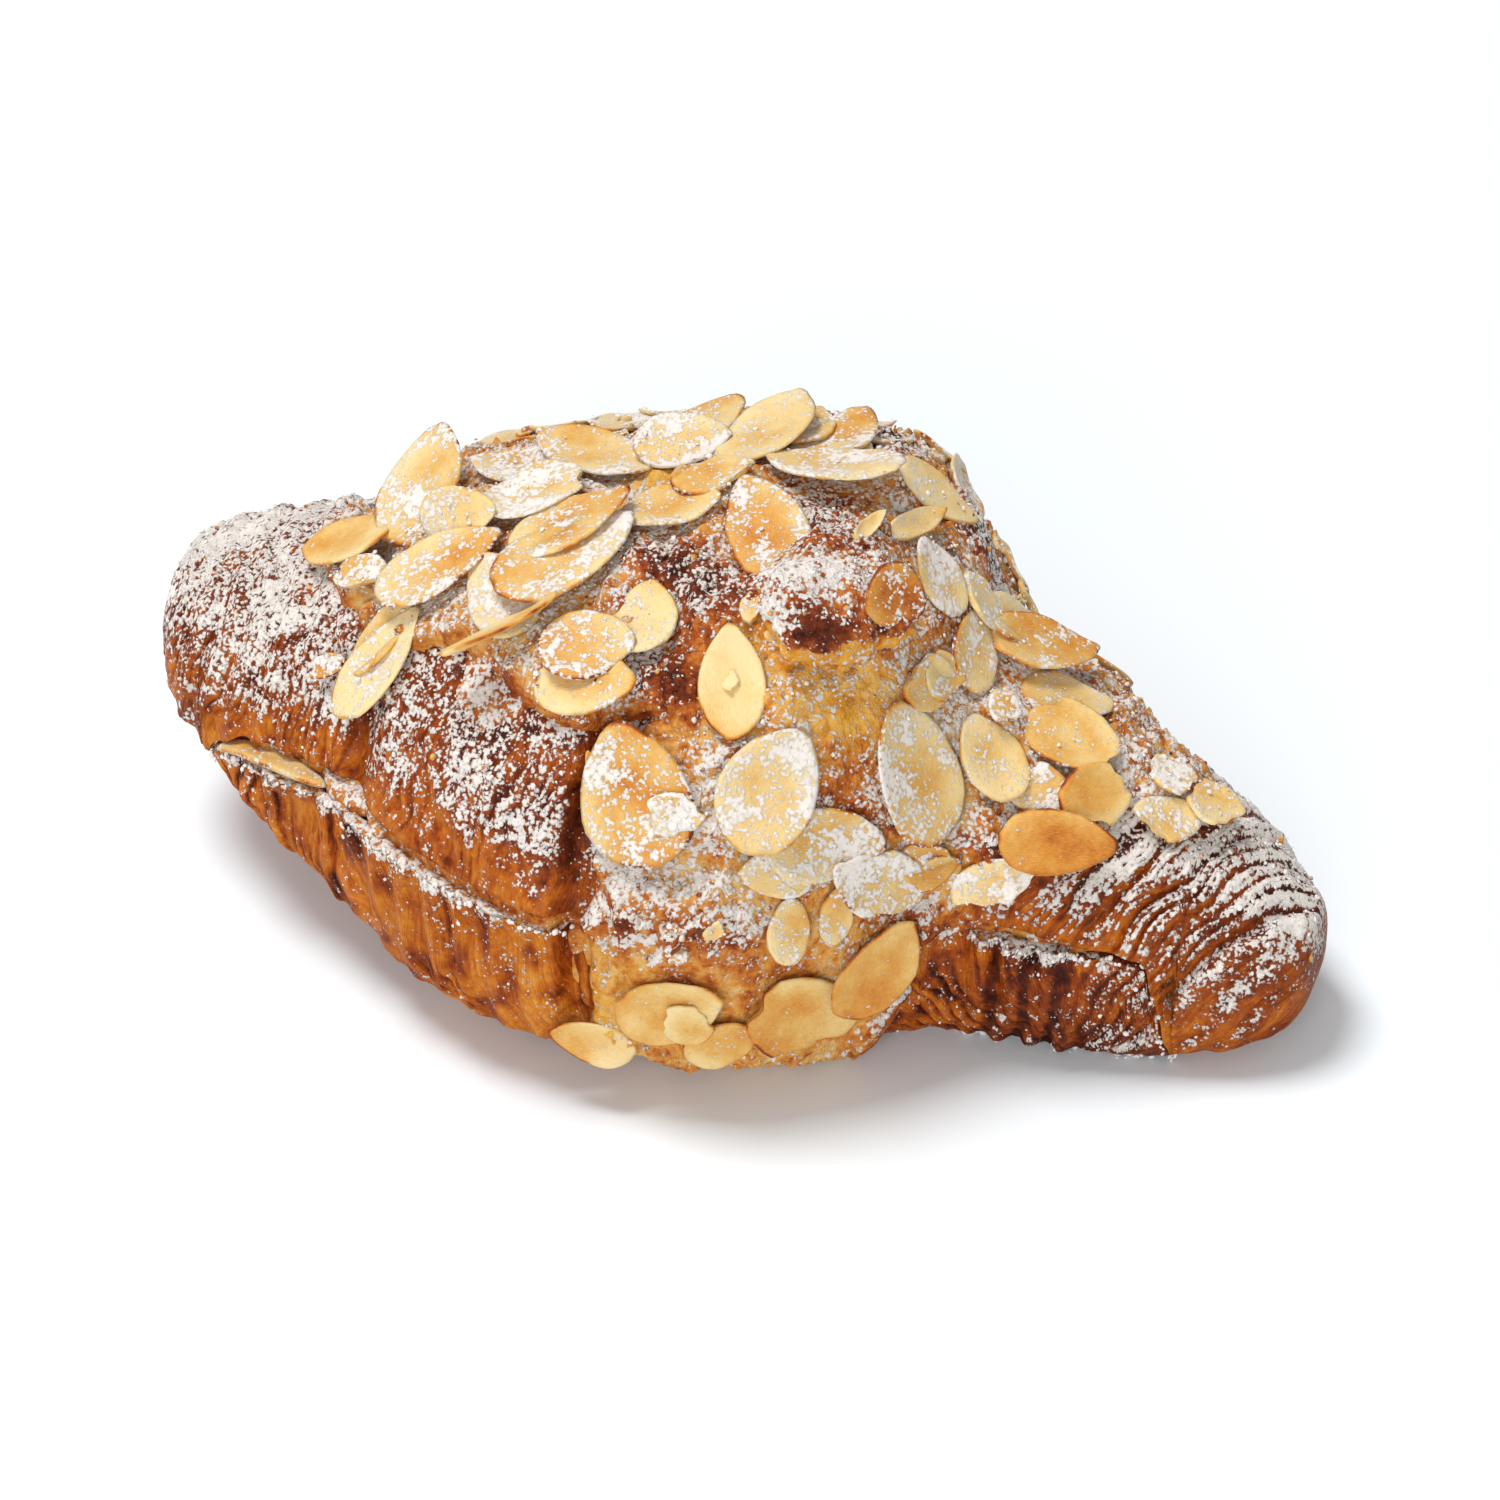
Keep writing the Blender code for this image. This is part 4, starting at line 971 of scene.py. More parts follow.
def rim_flare(along, around):
    """How far the base curls out below its rim, with upright folds."""
    left = window(along, -74.0, -60.0, RIM_TORN_AT - 2.0, RIM_TORN_AT)
    right = 0.45 * window(along, 37.0, 42.0, 55.0, 66.0)
    rise = ease(np.abs(around - 90.0), 150.0, 95.0)
    folds = 0.5 * np.sin(along * 1.25 + 0.04 * around) * window(along, -72.0, -60.0, 55.0, 66.0)
    bare = 1 - window(along, RIM_TORN_AT - 2.0, RIM_TORN_AT, 36.0, 41.0)
    return (RIM_FLARE * (left + right) * rise + folds * rise) * bare


def base_right(along):
    """0 to 1 where the base passes to its folded right part."""
    return ease(along, 36.0, 44.0)


def base_tip(along):
    """0 to 1 where the base passes to the lined tip."""
    return ease(along, 50.0, 58.0)


def base_lean(along, around, place):
    """Place across the base's layers, in mm."""
    return along + 0.20 * around + 3.5 * texture(place, "base_broad") + 2.2 * texture(place, "base_wide")


def base_layers(along, around, out):
    """Fine layers and folds added to the base's flare, and 1 down in the grooves."""
    place = body(along, around, 0.0)
    wide, close = texture(place, "base_wide"), texture(place, "base_close")
    layer = layered((base_lean(along, around, place) + 0.8 * close) / BASE_LAYER_EVERY)
    strong = np.clip(0.5 + 0.9 * texture(place, "base_strong"), 0.0, 1.2)
    right, tip = base_right(along), base_tip(along)
    folds = np.sin(along * 1.42 - 0.06 * around + 1.6 * wide + 0.5 * close)
    flap = window(along, -27.0, -20.0, -9.5, -8.8) * ease(around, -50.0, -10.0)
    notch = spot(along - 0.15 * (around - 3.0), around, TEAR)
    out = out + 0.85 * layer * strong * (1 - 0.7 * flap) + right * (0.65 * bent(folds, 0.8) - 0.25)
    out += 0.85 * close * (1 - 0.6 * flap) + 0.8 * wide - 0.7 + 0.9 * flap - 1.6 * notch
    out += 0.30 * texture(place, "base_tiny")
    groove = (1 - ease(layer, 0.05, 0.45)) * strong * (1 - flap) + right * 0.8 * ease(-folds, 0.2, 0.9)
    layers, tip_groove = dough_layers(along, around, place)
    out = out * (1 - tip) + (relief(along, around) + layers) * tip
    # The tear counts as a deep groove, so it takes the grooves' painted shade and loses sugar.
    groove = (groove + 2.0 * notch) * (1 - tip) + tip_groove * tip
    return out, np.clip(groove, 0.0, 1.2)


def rim_outline(along, columns, fine):
    """The base's outer skin from front rim to back rim, the room inside it, and its grid."""
    rim = around_at_height(along, curve(SLICE, 1, along) - 0.2 * curve(SLICE, 2, along) - 0.25)
    if fine:
        rim[[0, -1]] = -90.0
    around = rim[:, None] + np.linspace(0.0, 1.0, columns)[None, :] * (-180.0 - 2 * rim[:, None])
    at = np.repeat(along[:, None], columns, axis=1)
    out, groove = rim_flare(at, around), None
    if fine:
        out, groove = base_layers(at, around, out)
    outer = body(at, around, out)
    front, back = outer[:, 0, 1], outer[:, -1, 1]
    room = np.maximum(0.5 * (back - front) - RIM, 0.0)
    return outer, 0.5 * (front + back), room, at, around, groove


def base_flow(along, around):
    """Pattern place on the base in mm: across its layers, and along them."""
    place = body(along, around, 0.0)
    lean = base_lean(along, around, place)
    flow = np.stack([lean, np.radians(around) * 30.0, 0 * lean], axis=-1)
    tip = base_tip(along)[..., None]
    return flow * (1 - tip) + pastry_flow(along, around, place) * tip


def base_finish(at, around, outer, normals, groove, top):
    """Sugar and bake over the lower half, with painted shade in its grooves and tear."""
    height = outer[..., 2]
    tip, right, notch = base_tip(at), base_right(at), spot(at, around, TEAR)
    low = 1 - ease(height, 1.0, 9.0)
    foot = (1 - ease(height, 0.5, 2.2)) * (height > 0.3)
    near_rim = (1 - ease(np.abs(height - top[:, None]), 0.3, 2.2)) * (1 - ease(at, 55.0, 60.0))
    sugar = sugar_on(outer, normals, 0.24 + 0.5 * tip, BASE_DRIFT_SEED)
    sugar = np.clip(sugar + 0.08 - (0.2 + 0.3 * tip) * groove, 0.0, 1.0) * (height > 0.3)
    sugar = np.clip(sugar + (0.45 + 0.2 * right) * near_rim + 0.3 * foot - 0.8 * notch, 0.0, 1.0)
    blister = ease(texture(outer, "base_blister"), 0.10, 0.70)
    # Painted shade: darker in the grooves between the layers and in the tear.
    bake = 0.41 + 0.36 * groove + 0.16 * low + 0.05 * near_rim + 0.20 * right - 0.25 * notch
    bake += 0.34 * blister * (1 - right) - 0.13 * spot(at, around, PALE_END)
    return sugar, bake


def torn_edge(first, last, tips):
    """Rough rim from one wall to the other, fading at the tips."""
    edge = strip_between(first, last, 7)
    hump = np.sin(math.pi * np.linspace(0.0, 1.0, 9)[1:-1])
    rough = 0.35 * hump + 0.45 * grain(edge[..., 0] / 2.6, edge[..., 1] / 2.2, 0.0, 35)
    rough += 0.25 * grain(edge[..., 0] / 1.1, edge[..., 1] / 1.1, 0.0, 36)
    edge[..., 2] += rough * tips[:, None]
    return edge


def build_pastry_base(look):
    """Lower half: a shell with a torn, curled rim."""
    start, end = slice_ends()
    along = np.linspace(start, end, BASE_ROWS)
    outer, side, room, at, around, groove = rim_outline(along, BASE_COLUMNS, True)
    top = outer[:, 0, 2]
    tips = np.minimum(ease(along, start, start + 1.0), 1 - ease(along, end - 1.0, end))
    floor = np.minimum(curve(SLICE, 1, along) - curve(SLICE, 2, along), top - 0.05)
    back_wall = np.stack([along, side + room, top], axis=-1)
    front_wall = np.stack([along, side - room, top], axis=-1)
    inner = [np.stack([along, side + out * room, floor], axis=-1)
             for out in np.linspace(0.97, -0.97, 14)]
    loops = np.concatenate([outer, torn_edge(outer[:, -1:], back_wall[:, None], tips),
                            np.stack([back_wall, *inner, front_wall], axis=1),
                            torn_edge(front_wall[:, None], outer[:, :1], tips)], axis=1)
    normals = -normals_of(outer)
    sugar, bake = base_finish(at, around, outer, normals, groove, top)
    more = loops.shape[1] - outer.shape[1]
    # Painted shade: the torn rim and the inside of the shell turn darker towards the right, so the slice
    # reads as a dark gap.
    cut = np.repeat(0.3 + 0.5 * ease(along, 40.0, 54.0)[:, None], more, axis=1)
    dusted = np.repeat(0.72 - 0.5 * ease(along, 54.0, 60.0)[:, None], more, axis=1)
    values = {"sugar": np.concatenate([sugar, dusted], axis=1),
              "bake": np.concatenate([bake, cut], axis=1),
              "flow": np.pad(base_flow(at, around), ((0, 0), (0, more), (0, 0)), mode="edge")}
    add_piece(loft("pastry_base_crust", loops, values), look, "pastry_base")
    return outer, normals, sugar


def build_filling(look):
    """Lumpy almond cream that shows in the slice; returns its places along and its front wall."""
    along = np.linspace(FILLING_FROM, FILLING_TO, FILLING_ROWS)
    height, gap = curve(SLICE, 1, along)[:, None], curve(SLICE, 2, along)[:, None]
    side, room = rim_outline(along, 3, False)[1:3]
    rounded = window(along, FILLING_FROM, FILLING_FROM + FILLING_ROUNDED,
                     FILLING_TO - FILLING_ROUNDED, FILLING_TO)
    angle = np.linspace(0.0, 2 * math.pi, FILLING_COLUMNS + 1)[:-1]
    across, up = -bent(np.cos(angle), 0.35)[None, :], bent(np.sin(angle), 0.6)[None, :]
    loops = np.stack(np.broadcast_arrays(along[:, None], across * room[:, None],
                                         height + up * gap), axis=-1)
    lumps = 0.9 * texture(loops, "filling_coarse") + 0.5 * texture(loops, "filling_medium")
    lumps += 0.2 * texture(loops, "filling_small")
    bulge = 2.0 * peak(along, -47.5, 3.2) + 1.6 * peak(along, -40.0, 1.8)
    reach = np.sqrt(rounded)[:, None] * (0.97 * room[:, None] - 0.6 + 1.2 * lumps + bulge[:, None])
    loops[..., 1] = side[:, None] + across * reach
    loops[..., 2] = height + up * (gap - 0.05) * (1 + 0.08 * lumps)
    loops[[0, -1]] = loops[[0, -1]].mean(axis=1, keepdims=True)
    sugar = np.clip(0.52 + 0.3 * up + 0.12 * lumps, 0.0, 1.0)
    # Painted shade: the filling turns dark towards the right, so the slice reads as a dark gap there.
    bake = np.clip(0.34 + 0.14 * lumps + 0.45 * ease(along, 26.0, 38.0)[:, None], 0.0, 1.0)
    values = {"sugar": sugar, "bake": bake, "yellow": 0 * bake}
    add_piece(loft("slice_filling", loops, values), look, "almond_filling")
    return along, side - room


def build_sliver(look, along, wall):
    """Sliver of almond that lies in the slice, against its front wall."""
    at, length, width, thick = SLIVER
    shape = flake_shape()
    flat = corners_of(shape)
    x = at + flat[:, 0] * length / 2 - 0.35 * flat[:, 1] * width / 2
    ends = np.array([at - length / 2, at + length / 2])
    y = np.interp(x, ends, np.interp(ends, along, wall)) + flat[:, 1] * width / 2 + 0.2
    z = curve(SLICE, 1, x) + 0.30 * curve(SLICE, 2, x)
    z += flat[:, 2] * thick / 2 - 0.15 * flat[:, 1] * width / 2
    mesh = repeat("sliver_of_almond", shape, 1)
    move_to(mesh, np.stack([x, y, z], axis=-1))
    same = np.ones(len(flat))
    store(mesh, {"sugar": 0.40 * same, "toast": 0.45 * same, "rim": np.hypot(flat[:, 0], flat[:, 1]),
                 "flow": flat * 6})
    add_piece(mesh, look, "almond_filling")


# -------------------------------------------------------------------- topping

def cream_inside(along, around):
    """How far, in mm, a place lies inside the cream's outline."""
    crest = np.minimum(around - curve(CREST, 1, along), curve(CREST, 2, along) - around) * 0.7
    apron = np.minimum(along - curve(APRON, 1, around), curve(APRON, 2, around) - along)
    apron = np.minimum(apron, (around - APRON[0][0]) * 0.6)
    apron = np.where(around > APRON[-1][0], -50.0, apron)
    crest = np.where((along < CREST[0][0]) | (along > CREST[-1][0]), -50.0, crest)
    return np.maximum(crest, apron)


def under_flakes(along, around):
    """1 where a flake lies on the cream, 0 away from the flakes."""
    pressed = np.zeros(along.shape)
    for flake in FLAKES:
        at, turn = float(flake[0]), float(flake[1])
        degree = np.linalg.norm(body(at, turn + 2.0, 0.0) - body(at, turn - 2.0, 0.0)) / 4     # in mm
        across, up = along - at, (around - turn) * degree
        way = math.radians(flake[2])
        long_way = (across * math.cos(way) + up * math.sin(way)) / (flake[3] / 2)
        wide_way = (up * math.cos(way) - across * math.sin(way)) / (flake[4] / 2)
        pressed = np.maximum(pressed, 1 - ease(np.hypot(long_way, wide_way), 0.7, 1.15))
    return pressed


def summed(places, along, around):
    """Sum of oval places, each as much as its last number says."""
    total = np.zeros(along.shape)
    for place in places:
        total += place[4] * spot(along, around, place)
    return total


def build_cream(look):
    """Cream over the crest and down the front, sunk into the crust around its edge."""
    along, around = np.linspace(*CREAM_SPAN[0], CREAM_ROWS), np.linspace(*CREAM_SPAN[1], CREAM_COLUMNS)
    at, turn = np.meshgrid(along, around, indexing="ij")
    smooth = body(at, turn, 2.0)
    coarse, medium, small, grit = (texture(smooth, "cream_" + size)
                                   for size in ("coarse", "medium", "small", "grit"))
    inside = cream_inside(at, turn) + 1.3 * coarse + 0.9 * medium - 0.4
    fade = np.sqrt(1 - (1 - np.clip(inside / 3.0, 0.0, 1.0)) ** 2)
    pressed = under_flakes(at, turn)
    browned = summed(BROWNED, at, turn)
    rough = 0.9 * coarse + 1.0 * medium + 0.75 * small + 0.35 * grit + 1.6 * np.clip(browned, 0.0, 0.8)
    high = cream_height(at, turn) + rough * (1 - 0.85 * pressed) - 0.5 * pressed
    ground = relief(at, turn)
    outer = body(at, turn, ground - CREAM_SUNK + (high + CREAM_SUNK) * fade)
    normals = normals_of(outer)
    # Eggy places are egg-yellow; their paler tone is painted light over places where shade falls.
    yellow = np.max([spot(at, turn, place) for place in YELLOW], axis=0)
    bake = 0.28 + 0.16 * coarse + 0.16 * medium + 0.85 * browned - 0.12 * small
    # Painted shade: the cream is darker along its outline, where it meets the crust.
    bake += 0.16 * (1 - ease(inside, 0.0, 2.5)) - 0.22 * yellow
    much = 0.59 + summed(HEAVY_SUGAR, at, turn)
    sugar = sugar_on(outer, normals, much, CREAM_DRIFT_SEED)
    sugar = np.clip(sugar - 0.20 * yellow, 0.0, 1.0)
    back = slice(None, None, -CREAM_INSIDE_EVERY)
    inner = body(at[:, back], turn[:, back], ground[:, back] - 2 * CREAM_SUNK)
    values = {name: np.pad(value, ((0, 0), (0, inner.shape[1])))
              for name, value in (("sugar", sugar), ("bake", bake), ("yellow", 0.85 * yellow))}
    mesh = loft("almond_cream_topping", np.concatenate([outer, inner], axis=1), values)
    add_piece(mesh, look, "almond_topping")
    return outer, normals, np.where(inside > 0.3, sugar, 0.0)


def build_knob(look):
    """Lump of cream that rose and browned, with a thick cap of sugar."""
    along, around, out, turn, *half_sizes = KNOB
    centre, step_along, sweep, outwards = stand_at(along, around, out)
    step_along, sweep = turned(step_along, sweep, math.radians(turn))
    shape = bmesh.new()
    bmesh.ops.create_icosphere(shape, subdivisions=6, radius=1.0)
    ball = corners_of(shape)
    blunt = bent(ball, 0.75)
    rough = [grain_at(blunt * np.array(half_sizes) + 9 * size, size, seed)
             for size, seed in ((4.2, 71), (1.9, 72), (0.8, 73))]

    def near(x, y, z, reach):
        return np.exp(-((ball - np.array([x, y, z])) ** 2).sum(axis=1) / reach ** 2)
    left, right = near(-0.5, 0.0, 0.85, 0.6), near(0.75, 0.0, 0.65, 0.45)
    white = near(-0.10, 0.45, 0.85, 0.66) + near(-0.90, 0.0, 0.40, 0.35)
    dark = near(-0.45, -0.34, 0.82, 0.42)
    # A dent low round the knob, darkened as a painted shadow line, with less sugar.
    shaded_hollow = peak(ball[:, 2] + 0.22 - 0.15 * rough[0], 0.0, 0.2)
    split = peak(ball[:, 0] - 0.30 - 0.1 * rough[0], 0.0, 0.10) * ease(ball[:, 2], 0.0, 0.4)
    uneven = 0.94 + 0.10 * left + 0.14 * right - 0.20 * shaded_hollow - 0.12 * split
    uneven += 0.09 * rough[0] + 0.09 * rough[1] + 0.045 * rough[2]
    scaled = blunt * uneven[:, None] * np.array(half_sizes)
    place = centre + scaled @ np.array([step_along, sweep, outwards])
    place = keep_clear(place, 0.6)
    mesh = repeat("browned_knob", shape, 1)
    move_to(mesh, place)
    cap = ease(blunt[:, 2] + 0.60 * blunt[:, 1] + 0.14 * rough[0] + 0.14 * rough[1], 0.08, 0.30)
    bake = 0.28 + 0.12 * rough[1] + 0.12 * rough[0]
    bake += cap * (0.20 + 0.50 * dark + 0.24 * right * (1 + rough[1])) + 0.25 * split + 0.18 * shaded_hollow
    sugar = 0.36 + cap * (0.70 * white - 0.10 * right) - 0.48 * dark + 0.12 * rough[1] - 0.2 * shaded_hollow
    sugar = np.clip(sugar, 0.0, 1.0)
    store(mesh, {"sugar": sugar, "bake": bake, "yellow": 0.8 * (1 - cap)})
    add_piece(mesh, look, "almond_topping")
    normals = np.empty(len(place) * 3, np.float32)
    mesh.vertices.foreach_get("normal", normals)
    return place, normals.reshape(-1, 3), sugar * cap


def flake_shape():
    """Thin oval disc of radius 1 and thickness 2, closest meshed near its rim."""
    shape = bmesh.new()
    bmesh.ops.create_uvsphere(shape, u_segments=36, v_segments=18, radius=1.0)
    for vert in shape.verts:
        x, y, z = vert.co
        tilt = math.acos(min(1.0, abs(z))) / (math.pi / 2)
        far = 1 - (1 - tilt) ** 1.25
        wide = math.hypot(x, y) or 1.0
        thick = math.sqrt(max(0.0, 1 - far ** 13))
        on_rim = tilt >= 0.999
        vert.co = (x / wide * far, y / wide * far, 0.0 if on_rim else math.copysign(thick, z))
    return shape


def flake_directions(flake, draw):
    """Where a flake's middle lies, and its directions along, across and outwards."""
    along, around, turn, _, _, lift, pitch, roll = flake[:8]
    out = float(relief(float(along), float(around)) + cream_height(along, around)) + lift
    centre, step_along, sweep, outwards = stand_at(along, around, out)
    tilt = (0.0, 0.0) if abs(roll) > STANDING_FROM else draw.normal(0.0, FLAKE_TILT, 2)
    turn, pitch, roll = (math.radians(value) for value in (turn, pitch + tilt[0], roll + tilt[1]))
    long_way = turned(step_along, sweep, turn)[0]
    wide_way = np.cross(outwards, long_way)
    long_way, outwards = turned(long_way, outwards, pitch)
    wide_way, outwards = turned(wide_way, outwards, roll)
    return centre, long_way, wide_way, outwards


def bitten(x, y, bites, draw, phase):
    """Outline of a flake with bits broken off its ends."""
    for bite in range(bites):     # at one end, then at the other
        way = draw.uniform(-0.9, 0.9) + math.pi * bite
        reach = x * math.cos(way) + y * math.sin(way)
        ragged = 0.05 * np.sin(9 * (x * math.sin(way) - y * math.cos(way)) + phase)
        over = np.maximum(reach - (draw.uniform(0.62, 0.80) + ragged), 0.0)
        x, y = x - over * math.cos(way), y - over * math.sin(way)
    return x, y


def lay_flake(flat, flake, draw):
    """Points of one flake on the cream, and its values for the material."""
    length, width, roll, sugar, toast, pointed, chipped = (*flake[3:5], *flake[7:])
    centre, long_way, wide_way, outwards = flake_directions(flake, draw)
    far, angle = np.hypot(flat[:, 0], flat[:, 1]), np.arctan2(flat[:, 1], flat[:, 0])
    seeds = draw.uniform(0.0, 6.28, 8)
    wobble = 1 + sum(high * np.sin(waves * angle + seed) for high, waves, seed in
                     zip((0.022, 0.018, 0.008, 0.006), (2, 3, 9, 14), seeds))
    x, y = flat[:, 0] * wobble, flat[:, 1] * wobble
    narrow = (1.0 - 0.18 * x) * (1 - (0.20 + 0.35 * pointed) * np.maximum(x, 0.0) ** 3)
    y = y * narrow * (1 - 0.35 * pointed * np.maximum(-x, 0.0) ** 4)
    x, y = bitten(x, y, int(chipped) + 1 if chipped else 0, draw, seeds[4])
    curl = FLAKE_CURL * draw.uniform(0.4, 1.3) * min(1.0, length / 14)
    cupped = curl * (x ** 2 + y ** 2) - 0.5 * curl + 0.35 * math.cos(seeds[5]) * x * y
    cupped += 0.30 * np.sin(2 * angle + seeds[6]) * far ** 3
    cupped += 0.16 * np.sin(5 * angle + seeds[2]) * far ** 6
    cupped += (length / 18) * draw.uniform(-0.4, 0.6) * x * np.abs(x)
    thick = FLAKE_THICK * (0.92 - 0.12 * x)
    uneven = 0.05 * grain(x * 3 + 9, y * 2 + 9, seeds[0] * 7, 81)
    height = flat[:, 2] * thick / 2 + cupped + uneven + 0.5 * FLAKE_THICK
    place = (centre + long_way * (x * length / 2)[:, None] + wide_way * (y * width / 2)[:, None]
             + outwards * height[:, None])
    place = keep_clear(place, -3.0 if abs(roll) > STANDING_FROM else 0.7)
    toasted = 0.12 + 0.8 * toast + 0.06 * draw.normal() + 0.22 * np.sin(angle + seeds[7]) * far ** 2
    patch = 0.42 * grain(x * 1.7 + seeds[1], y * 1.7 + seeds[2], 3.3, 82)
    cover = (sugar + (0.10 + patch) * min(1.0, 2.5 * sugar)) * np.where(flat[:, 2] < -0.2, 0.1, 1.0)
    flow = np.stack([x * length / 2, y * width / 2, 0 * x], axis=-1)
    values = {"sugar": np.clip(cover, 0.0, 1.0), "toast": toasted,
              "rim": np.clip(far, 0.0, 1.0), "flow": flow}
    return place, values, outwards


def back_flakes(draw):
    """Flakes over the back of the crest, spread by a rule."""
    for index in range(BACK_FLAKES):
        along = -44.0 + 88.0 * (index + 0.5) / BACK_FLAKES + draw.uniform(-2.0, 2.0)
        around = 120.0 + 9.0 * (index % 2) + 9.0 * ease(along, 8.0, 14.0) + draw.uniform(-3.0, 3.0)
        length = draw.uniform(12.5, 17.0)
        yield (along, around, draw.uniform(0.0, 180.0), length, 0.62 * length, 0.1, 0, 0,
               draw.uniform(0.25, 0.6), draw.uniform(0.15, 0.5), draw.uniform(0.0, 0.3), index % 3 == 0)


def chips(draw):
    """Broken bits of flake over the cream, spread by a rule."""
    made = 0
    while made < CHIPS:
        along, around = np.array(draw.uniform(-50.0, 62.0)), np.array(draw.uniform(-5.0, 128.0))
        if cream_inside(along, around) > 2.5 and under_flakes(along, around) < 0.02:
            made += 1
            length = draw.uniform(2.2, 4.2)
            yield (along, around, draw.uniform(0.0, 180.0), length,
                   length * draw.uniform(0.45, 0.8), 0.3, 0, 0,
                   draw.uniform(0.1, 0.6), draw.uniform(0.1, 0.7), draw.uniform(0.0, 0.4), 1)


def build_flakes(look):
    """All flaked almonds on the cream, as one piece."""
    draw = np.random.default_rng(FLAKE_SEED)
    flakes = [*FLAKES, *SMALL_FLAKES, *back_flakes(draw), *chips(draw)]
    shape = flake_shape()
    flat = corners_of(shape)
    mesh = repeat("flaked_almonds", shape, len(flakes))
    places, values, tops = [], [], []
    for flake in flakes:
        place, value, outwards = lay_flake(flat, flake, draw)
        places.append(place)
        values.append(value)
        upper = flat[:, 2] > 0.3
        normals = np.repeat(outwards[None], upper.sum(), axis=0)
        tops.append((place[upper], normals, value["sugar"][upper]))
    move_to(mesh, np.concatenate(places))
    store(mesh, {name: np.concatenate([value[name] for value in values]) for name in values[0]})
    add_piece(mesh, look, "almond_topping")
    return [np.concatenate(part) for part in zip(*tops)]


# --------------------------------------------------------------- loose pieces

def sprinkle(draw, surfaces, count):
    """Random places on surfaces, likelier where they carry more sugar."""
    points, normals, chances = [], [], []
    for place, normal, sugar, share in surfaces:
        size = np.linalg.norm(facing(place), axis=-1) if place.ndim == 3 else np.ones(len(place))
        place, normal = place.reshape(-1, 3), normal.reshape(-1, 3)
        chance = size.ravel() * (sugar.ravel() ** 1.5) * np.clip(normal[:, 2] + 0.35, 0.0, 1.0)
        points.append(place)
        normals.append(normal)
        chances.append(share * chance / chance.sum())
    points, normals, chances = (np.concatenate(part) for part in (points, normals, chances))
    chosen = draw.choice(len(points), size=count, p=chances / chances.sum())
    return points[chosen] + draw.normal(0.0, 0.18, (count, 3)), normals[chosen]


def scatter_lumps(name, draw, places, normals, sizes, sink, flatten):
    """Mesh of many small blunt lumps, each turned and squashed its own way."""
    shape = bmesh.new()
    bmesh.ops.create_icosphere(shape, subdivisions=1, radius=1.0)
    ball = corners_of(shape)
    count = len(places)
    mesh = repeat(name, shape, count)
    squash = draw.uniform(0.7, 1.3, (count, 1, 3))
    spread = ball[None] * squash * draw.uniform(0.8, 1.2, (count, len(ball), 1))
    turn = np.linalg.qr(draw.normal(size=(count, 3, 3)))[0]
    turn *= np.sign(np.linalg.det(turn))[:, None, None]
    spread = np.einsum("nij,nkj->nki", turn, spread) * sizes[:, None, None]
    spread -= (spread * normals[:, None]).sum(axis=-1, keepdims=True) * normals[:, None] * flatten
    corners = places[:, None] + (normals * (sizes * sink)[:, None])[:, None] + spread
    corners[..., 2] = np.maximum(corners[..., 2], 0.02)
    move_to(mesh, corners)
    return mesh, len(ball)


def build_sugar(look, surfaces):
    """Clumps of icing sugar that stand proud of the dusting."""
    draw = np.random.default_rng(SUGAR_SEED)
    for name, count, low, high in SUGAR_PIECES:
        places, normals = sprinkle(draw, surfaces, count)
        sizes = draw.uniform(low, high, count) * draw.uniform(0.7, 1.0, count)
        mesh = scatter_lumps(name, draw, places, normals, sizes, 0.2, 0.35)[0]
        add_piece(mesh, look, "almond_topping")


def build_crumbs(cream, sugar_look, surfaces, base):
    """Toasted crumbs over the top, and sugared crumbs along the foot and the torn rim."""
    draw = np.random.default_rng(CRUMB_SEED)
    places, normals = sprinkle(draw, surfaces, CRUMBS)
    sizes = draw.uniform(0.22, 0.60, CRUMBS) * draw.uniform(0.6, 1.0, CRUMBS)
    mesh, corners = scatter_lumps("toasted_crumbs", draw, places, normals, sizes, 0.35, 0.3)
    store(mesh, {"sugar": np.repeat(draw.uniform(0.3, 0.8, CRUMBS), corners),
                 "bake": np.repeat(draw.uniform(0.10, 0.70, CRUMBS), corners),
                 "yellow": np.repeat(draw.uniform(0.0, 0.5, CRUMBS) ** 2, corners)})
    add_piece(mesh, cream, "almond_topping")
    place, normal = base[0].reshape(-1, 3), base[1].reshape(-1, 3)
    foot = (place[:, 2] > 0.2) & (place[:, 2] < 1.6)
    rim = np.abs(place[:, 2] - curve(SLICE, 1, place[:, 0])) < 1.2
    for name, part, count, high in (("sugar_at_foot", foot, 420, 0.55),
                                    ("sugar_on_rim", rim, 520, 0.50)):
        chosen = draw.choice(np.flatnonzero(part), count)
        places = place[chosen] + draw.normal(0.0, 0.25, (count, 3))
        sizes = draw.uniform(0.18, high, count)
        mesh = scatter_lumps(name, draw, places, normal[chosen], sizes, 0.2, 0.3)[0]
        add_piece(mesh, sugar_look, "pastry_base")


# ---------------------------------------------------------------------- stage

def build_floor():
    """Plain pale floor."""
    made, _, shader = new_material("pale_floor")
    set_finish(shader, Base_Color=FLOOR_TINT, Roughness=0.9, Specular_IOR_Level=0.1)
    shape = bmesh.new()
    bmesh.ops.create_grid(shape, x_segments=1, y_segments=1, size=4.0)
    mesh = bpy.data.meshes.new("floor")
    shape.to_mesh(mesh)
    shape.free()
    mesh.materials.append(made)
    floor = link_object("floor", mesh)


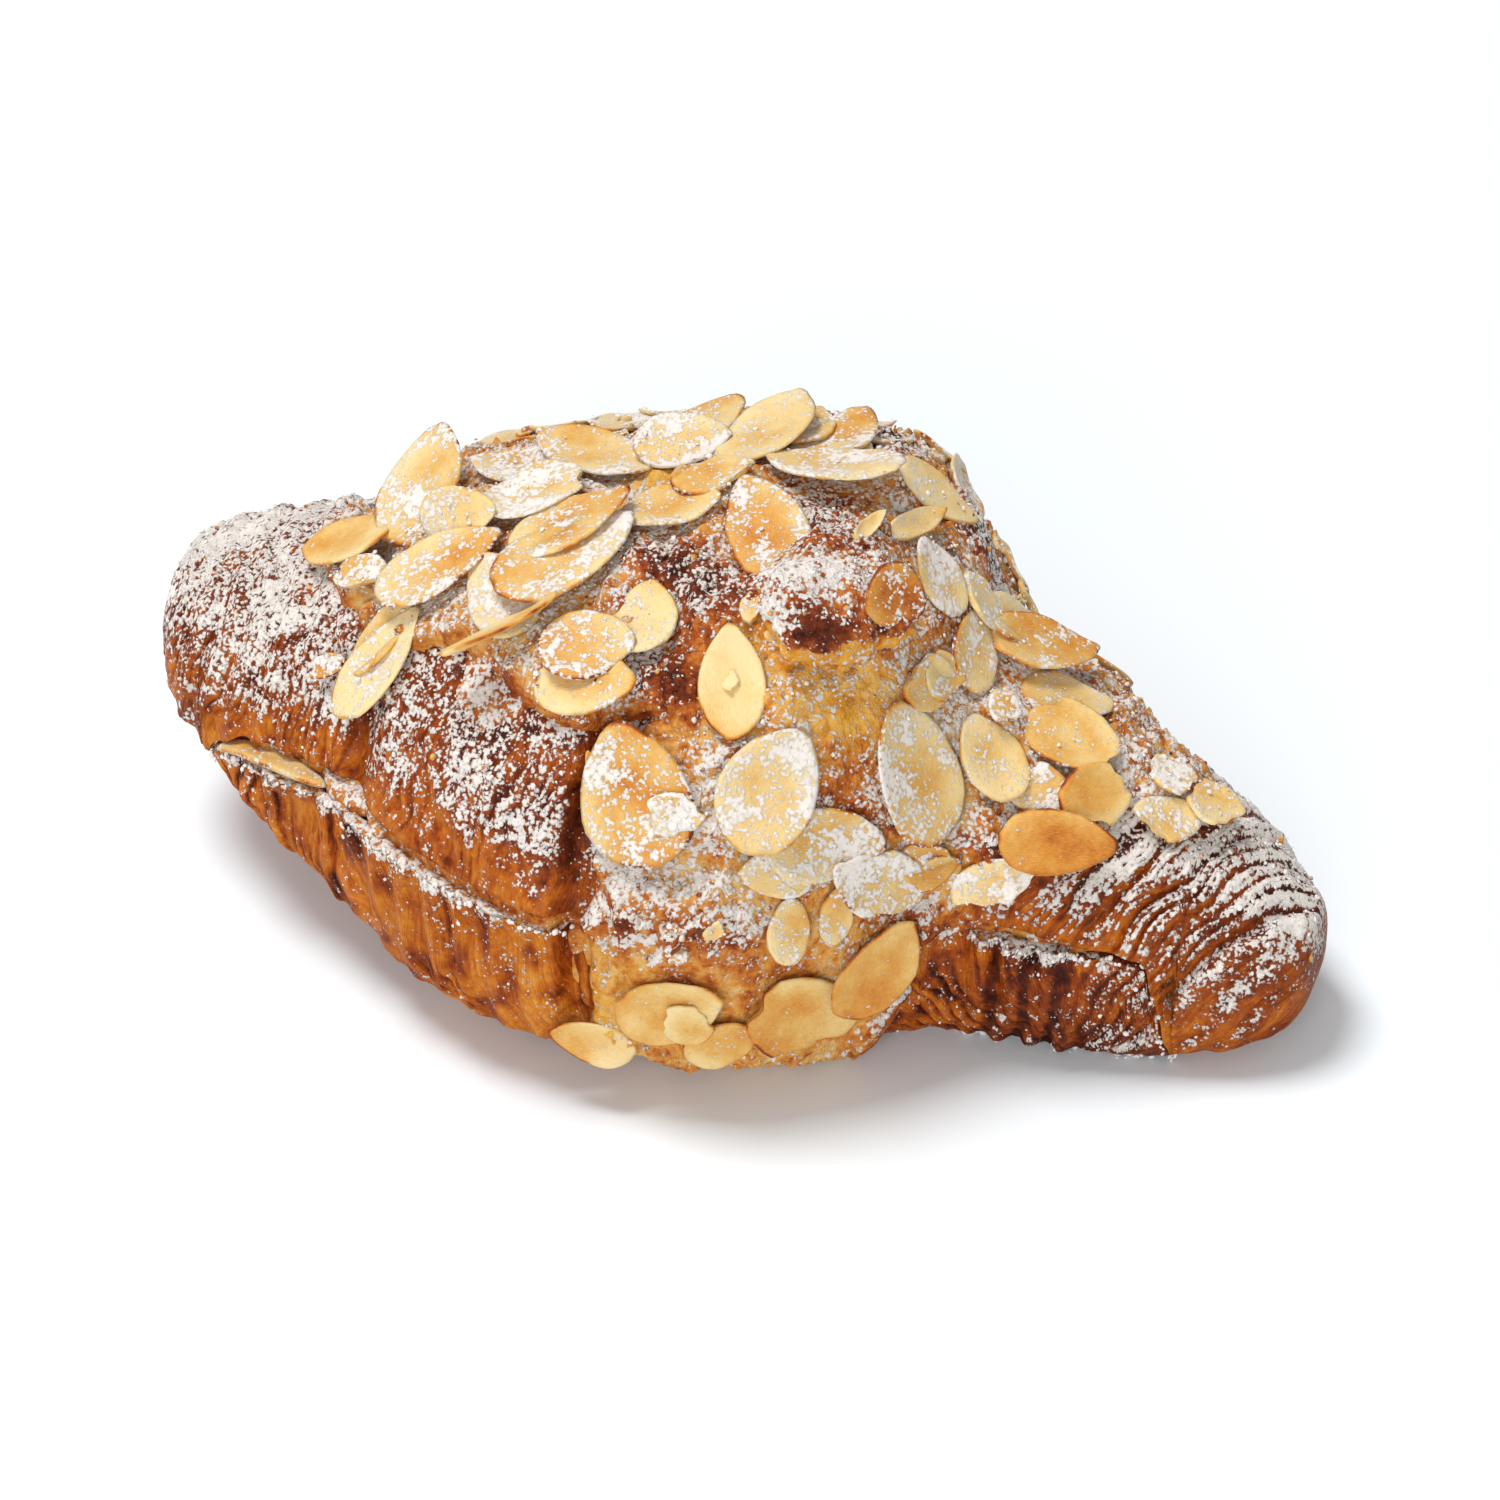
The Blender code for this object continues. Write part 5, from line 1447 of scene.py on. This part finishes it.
def add_softbox(name, place, size, power):
    """Round soft light that faces the croissant."""
    lamp = bpy.data.lights.new(name, "AREA")
    lamp.shape, lamp.size, lamp.energy = "DISK", size, power
    held = link_object(name, lamp)
    held.location = place
    held.rotation_euler = (-Vector(place)).to_track_quat("-Z", "Y").to_euler()


def light_studio():
    """Pale surroundings and the soft lights."""
    world = bpy.data.worlds.new("studio")
    world.use_nodes = True
    surroundings = world.node_tree.nodes["Background"].inputs
    surroundings["Color"].default_value = (1.0, 1.0, 1.0, 1.0)
    surroundings["Strength"].default_value = WORLD_STRENGTH
    bpy.context.scene.world = world
    for softbox in SOFTBOXES:
        add_softbox(*softbox)
    bpy.context.scene.view_settings.view_transform = "Standard"
    bpy.context.scene.view_settings.look = "None"


def place_camera():
    """Camera at the photograph's viewing angle."""
    turn, rise = math.radians(CAMERA_TURN), math.radians(CAMERA_RISE)
    back = Vector((math.sin(turn) * math.cos(rise), -math.cos(turn) * math.cos(rise), math.sin(rise)))
    camera = bpy.data.cameras.new("camera")
    camera.lens, camera.clip_start = CAMERA_LENS, 0.01
    camera.shift_x, camera.shift_y = SHIFT_RIGHT / PHOTO_WIDE, SHIFT_UP / PHOTO_WIDE
    held = link_object("camera", camera)
    held.location = Vector(CAMERA_AIM) + back * CAMERA_BACK
    held.rotation_euler = (-back).to_track_quat("-Z", "Y").to_euler()
    bpy.context.scene.camera = held


def main():
    """The croissant from its crust to its sugar, then the studio."""
    groups = {"sugar": make_sugar_dusting(), "crust": make_crust_tone(), "crumb": make_crumb_grain()}
    cream = cream_material("almond_cream", groups)
    almond = almond_material("flaked_almond", groups)
    sugar = sugar_material("icing_sugar")
    top = build_pastry_top(crust_material("baked_crust", groups, 0.7))
    base = build_pastry_base(crust_material("base_crust", groups, 0.8))
    build_sliver(almond, *build_filling(cream))
    topping = build_cream(cream)
    knob = build_knob(cream)
    flakes = build_flakes(almond)
    build_sugar(sugar, ((*top, 1.0), (*base, 0.12), (*topping, 0.8), (*knob, 0.06), (*flakes, 0.26)))
    build_crumbs(cream, sugar, ((*top, 0.2), (*topping, 1.0), (*knob, 0.04)), base)
    build_floor()
    light_studio()
    place_camera()


main()
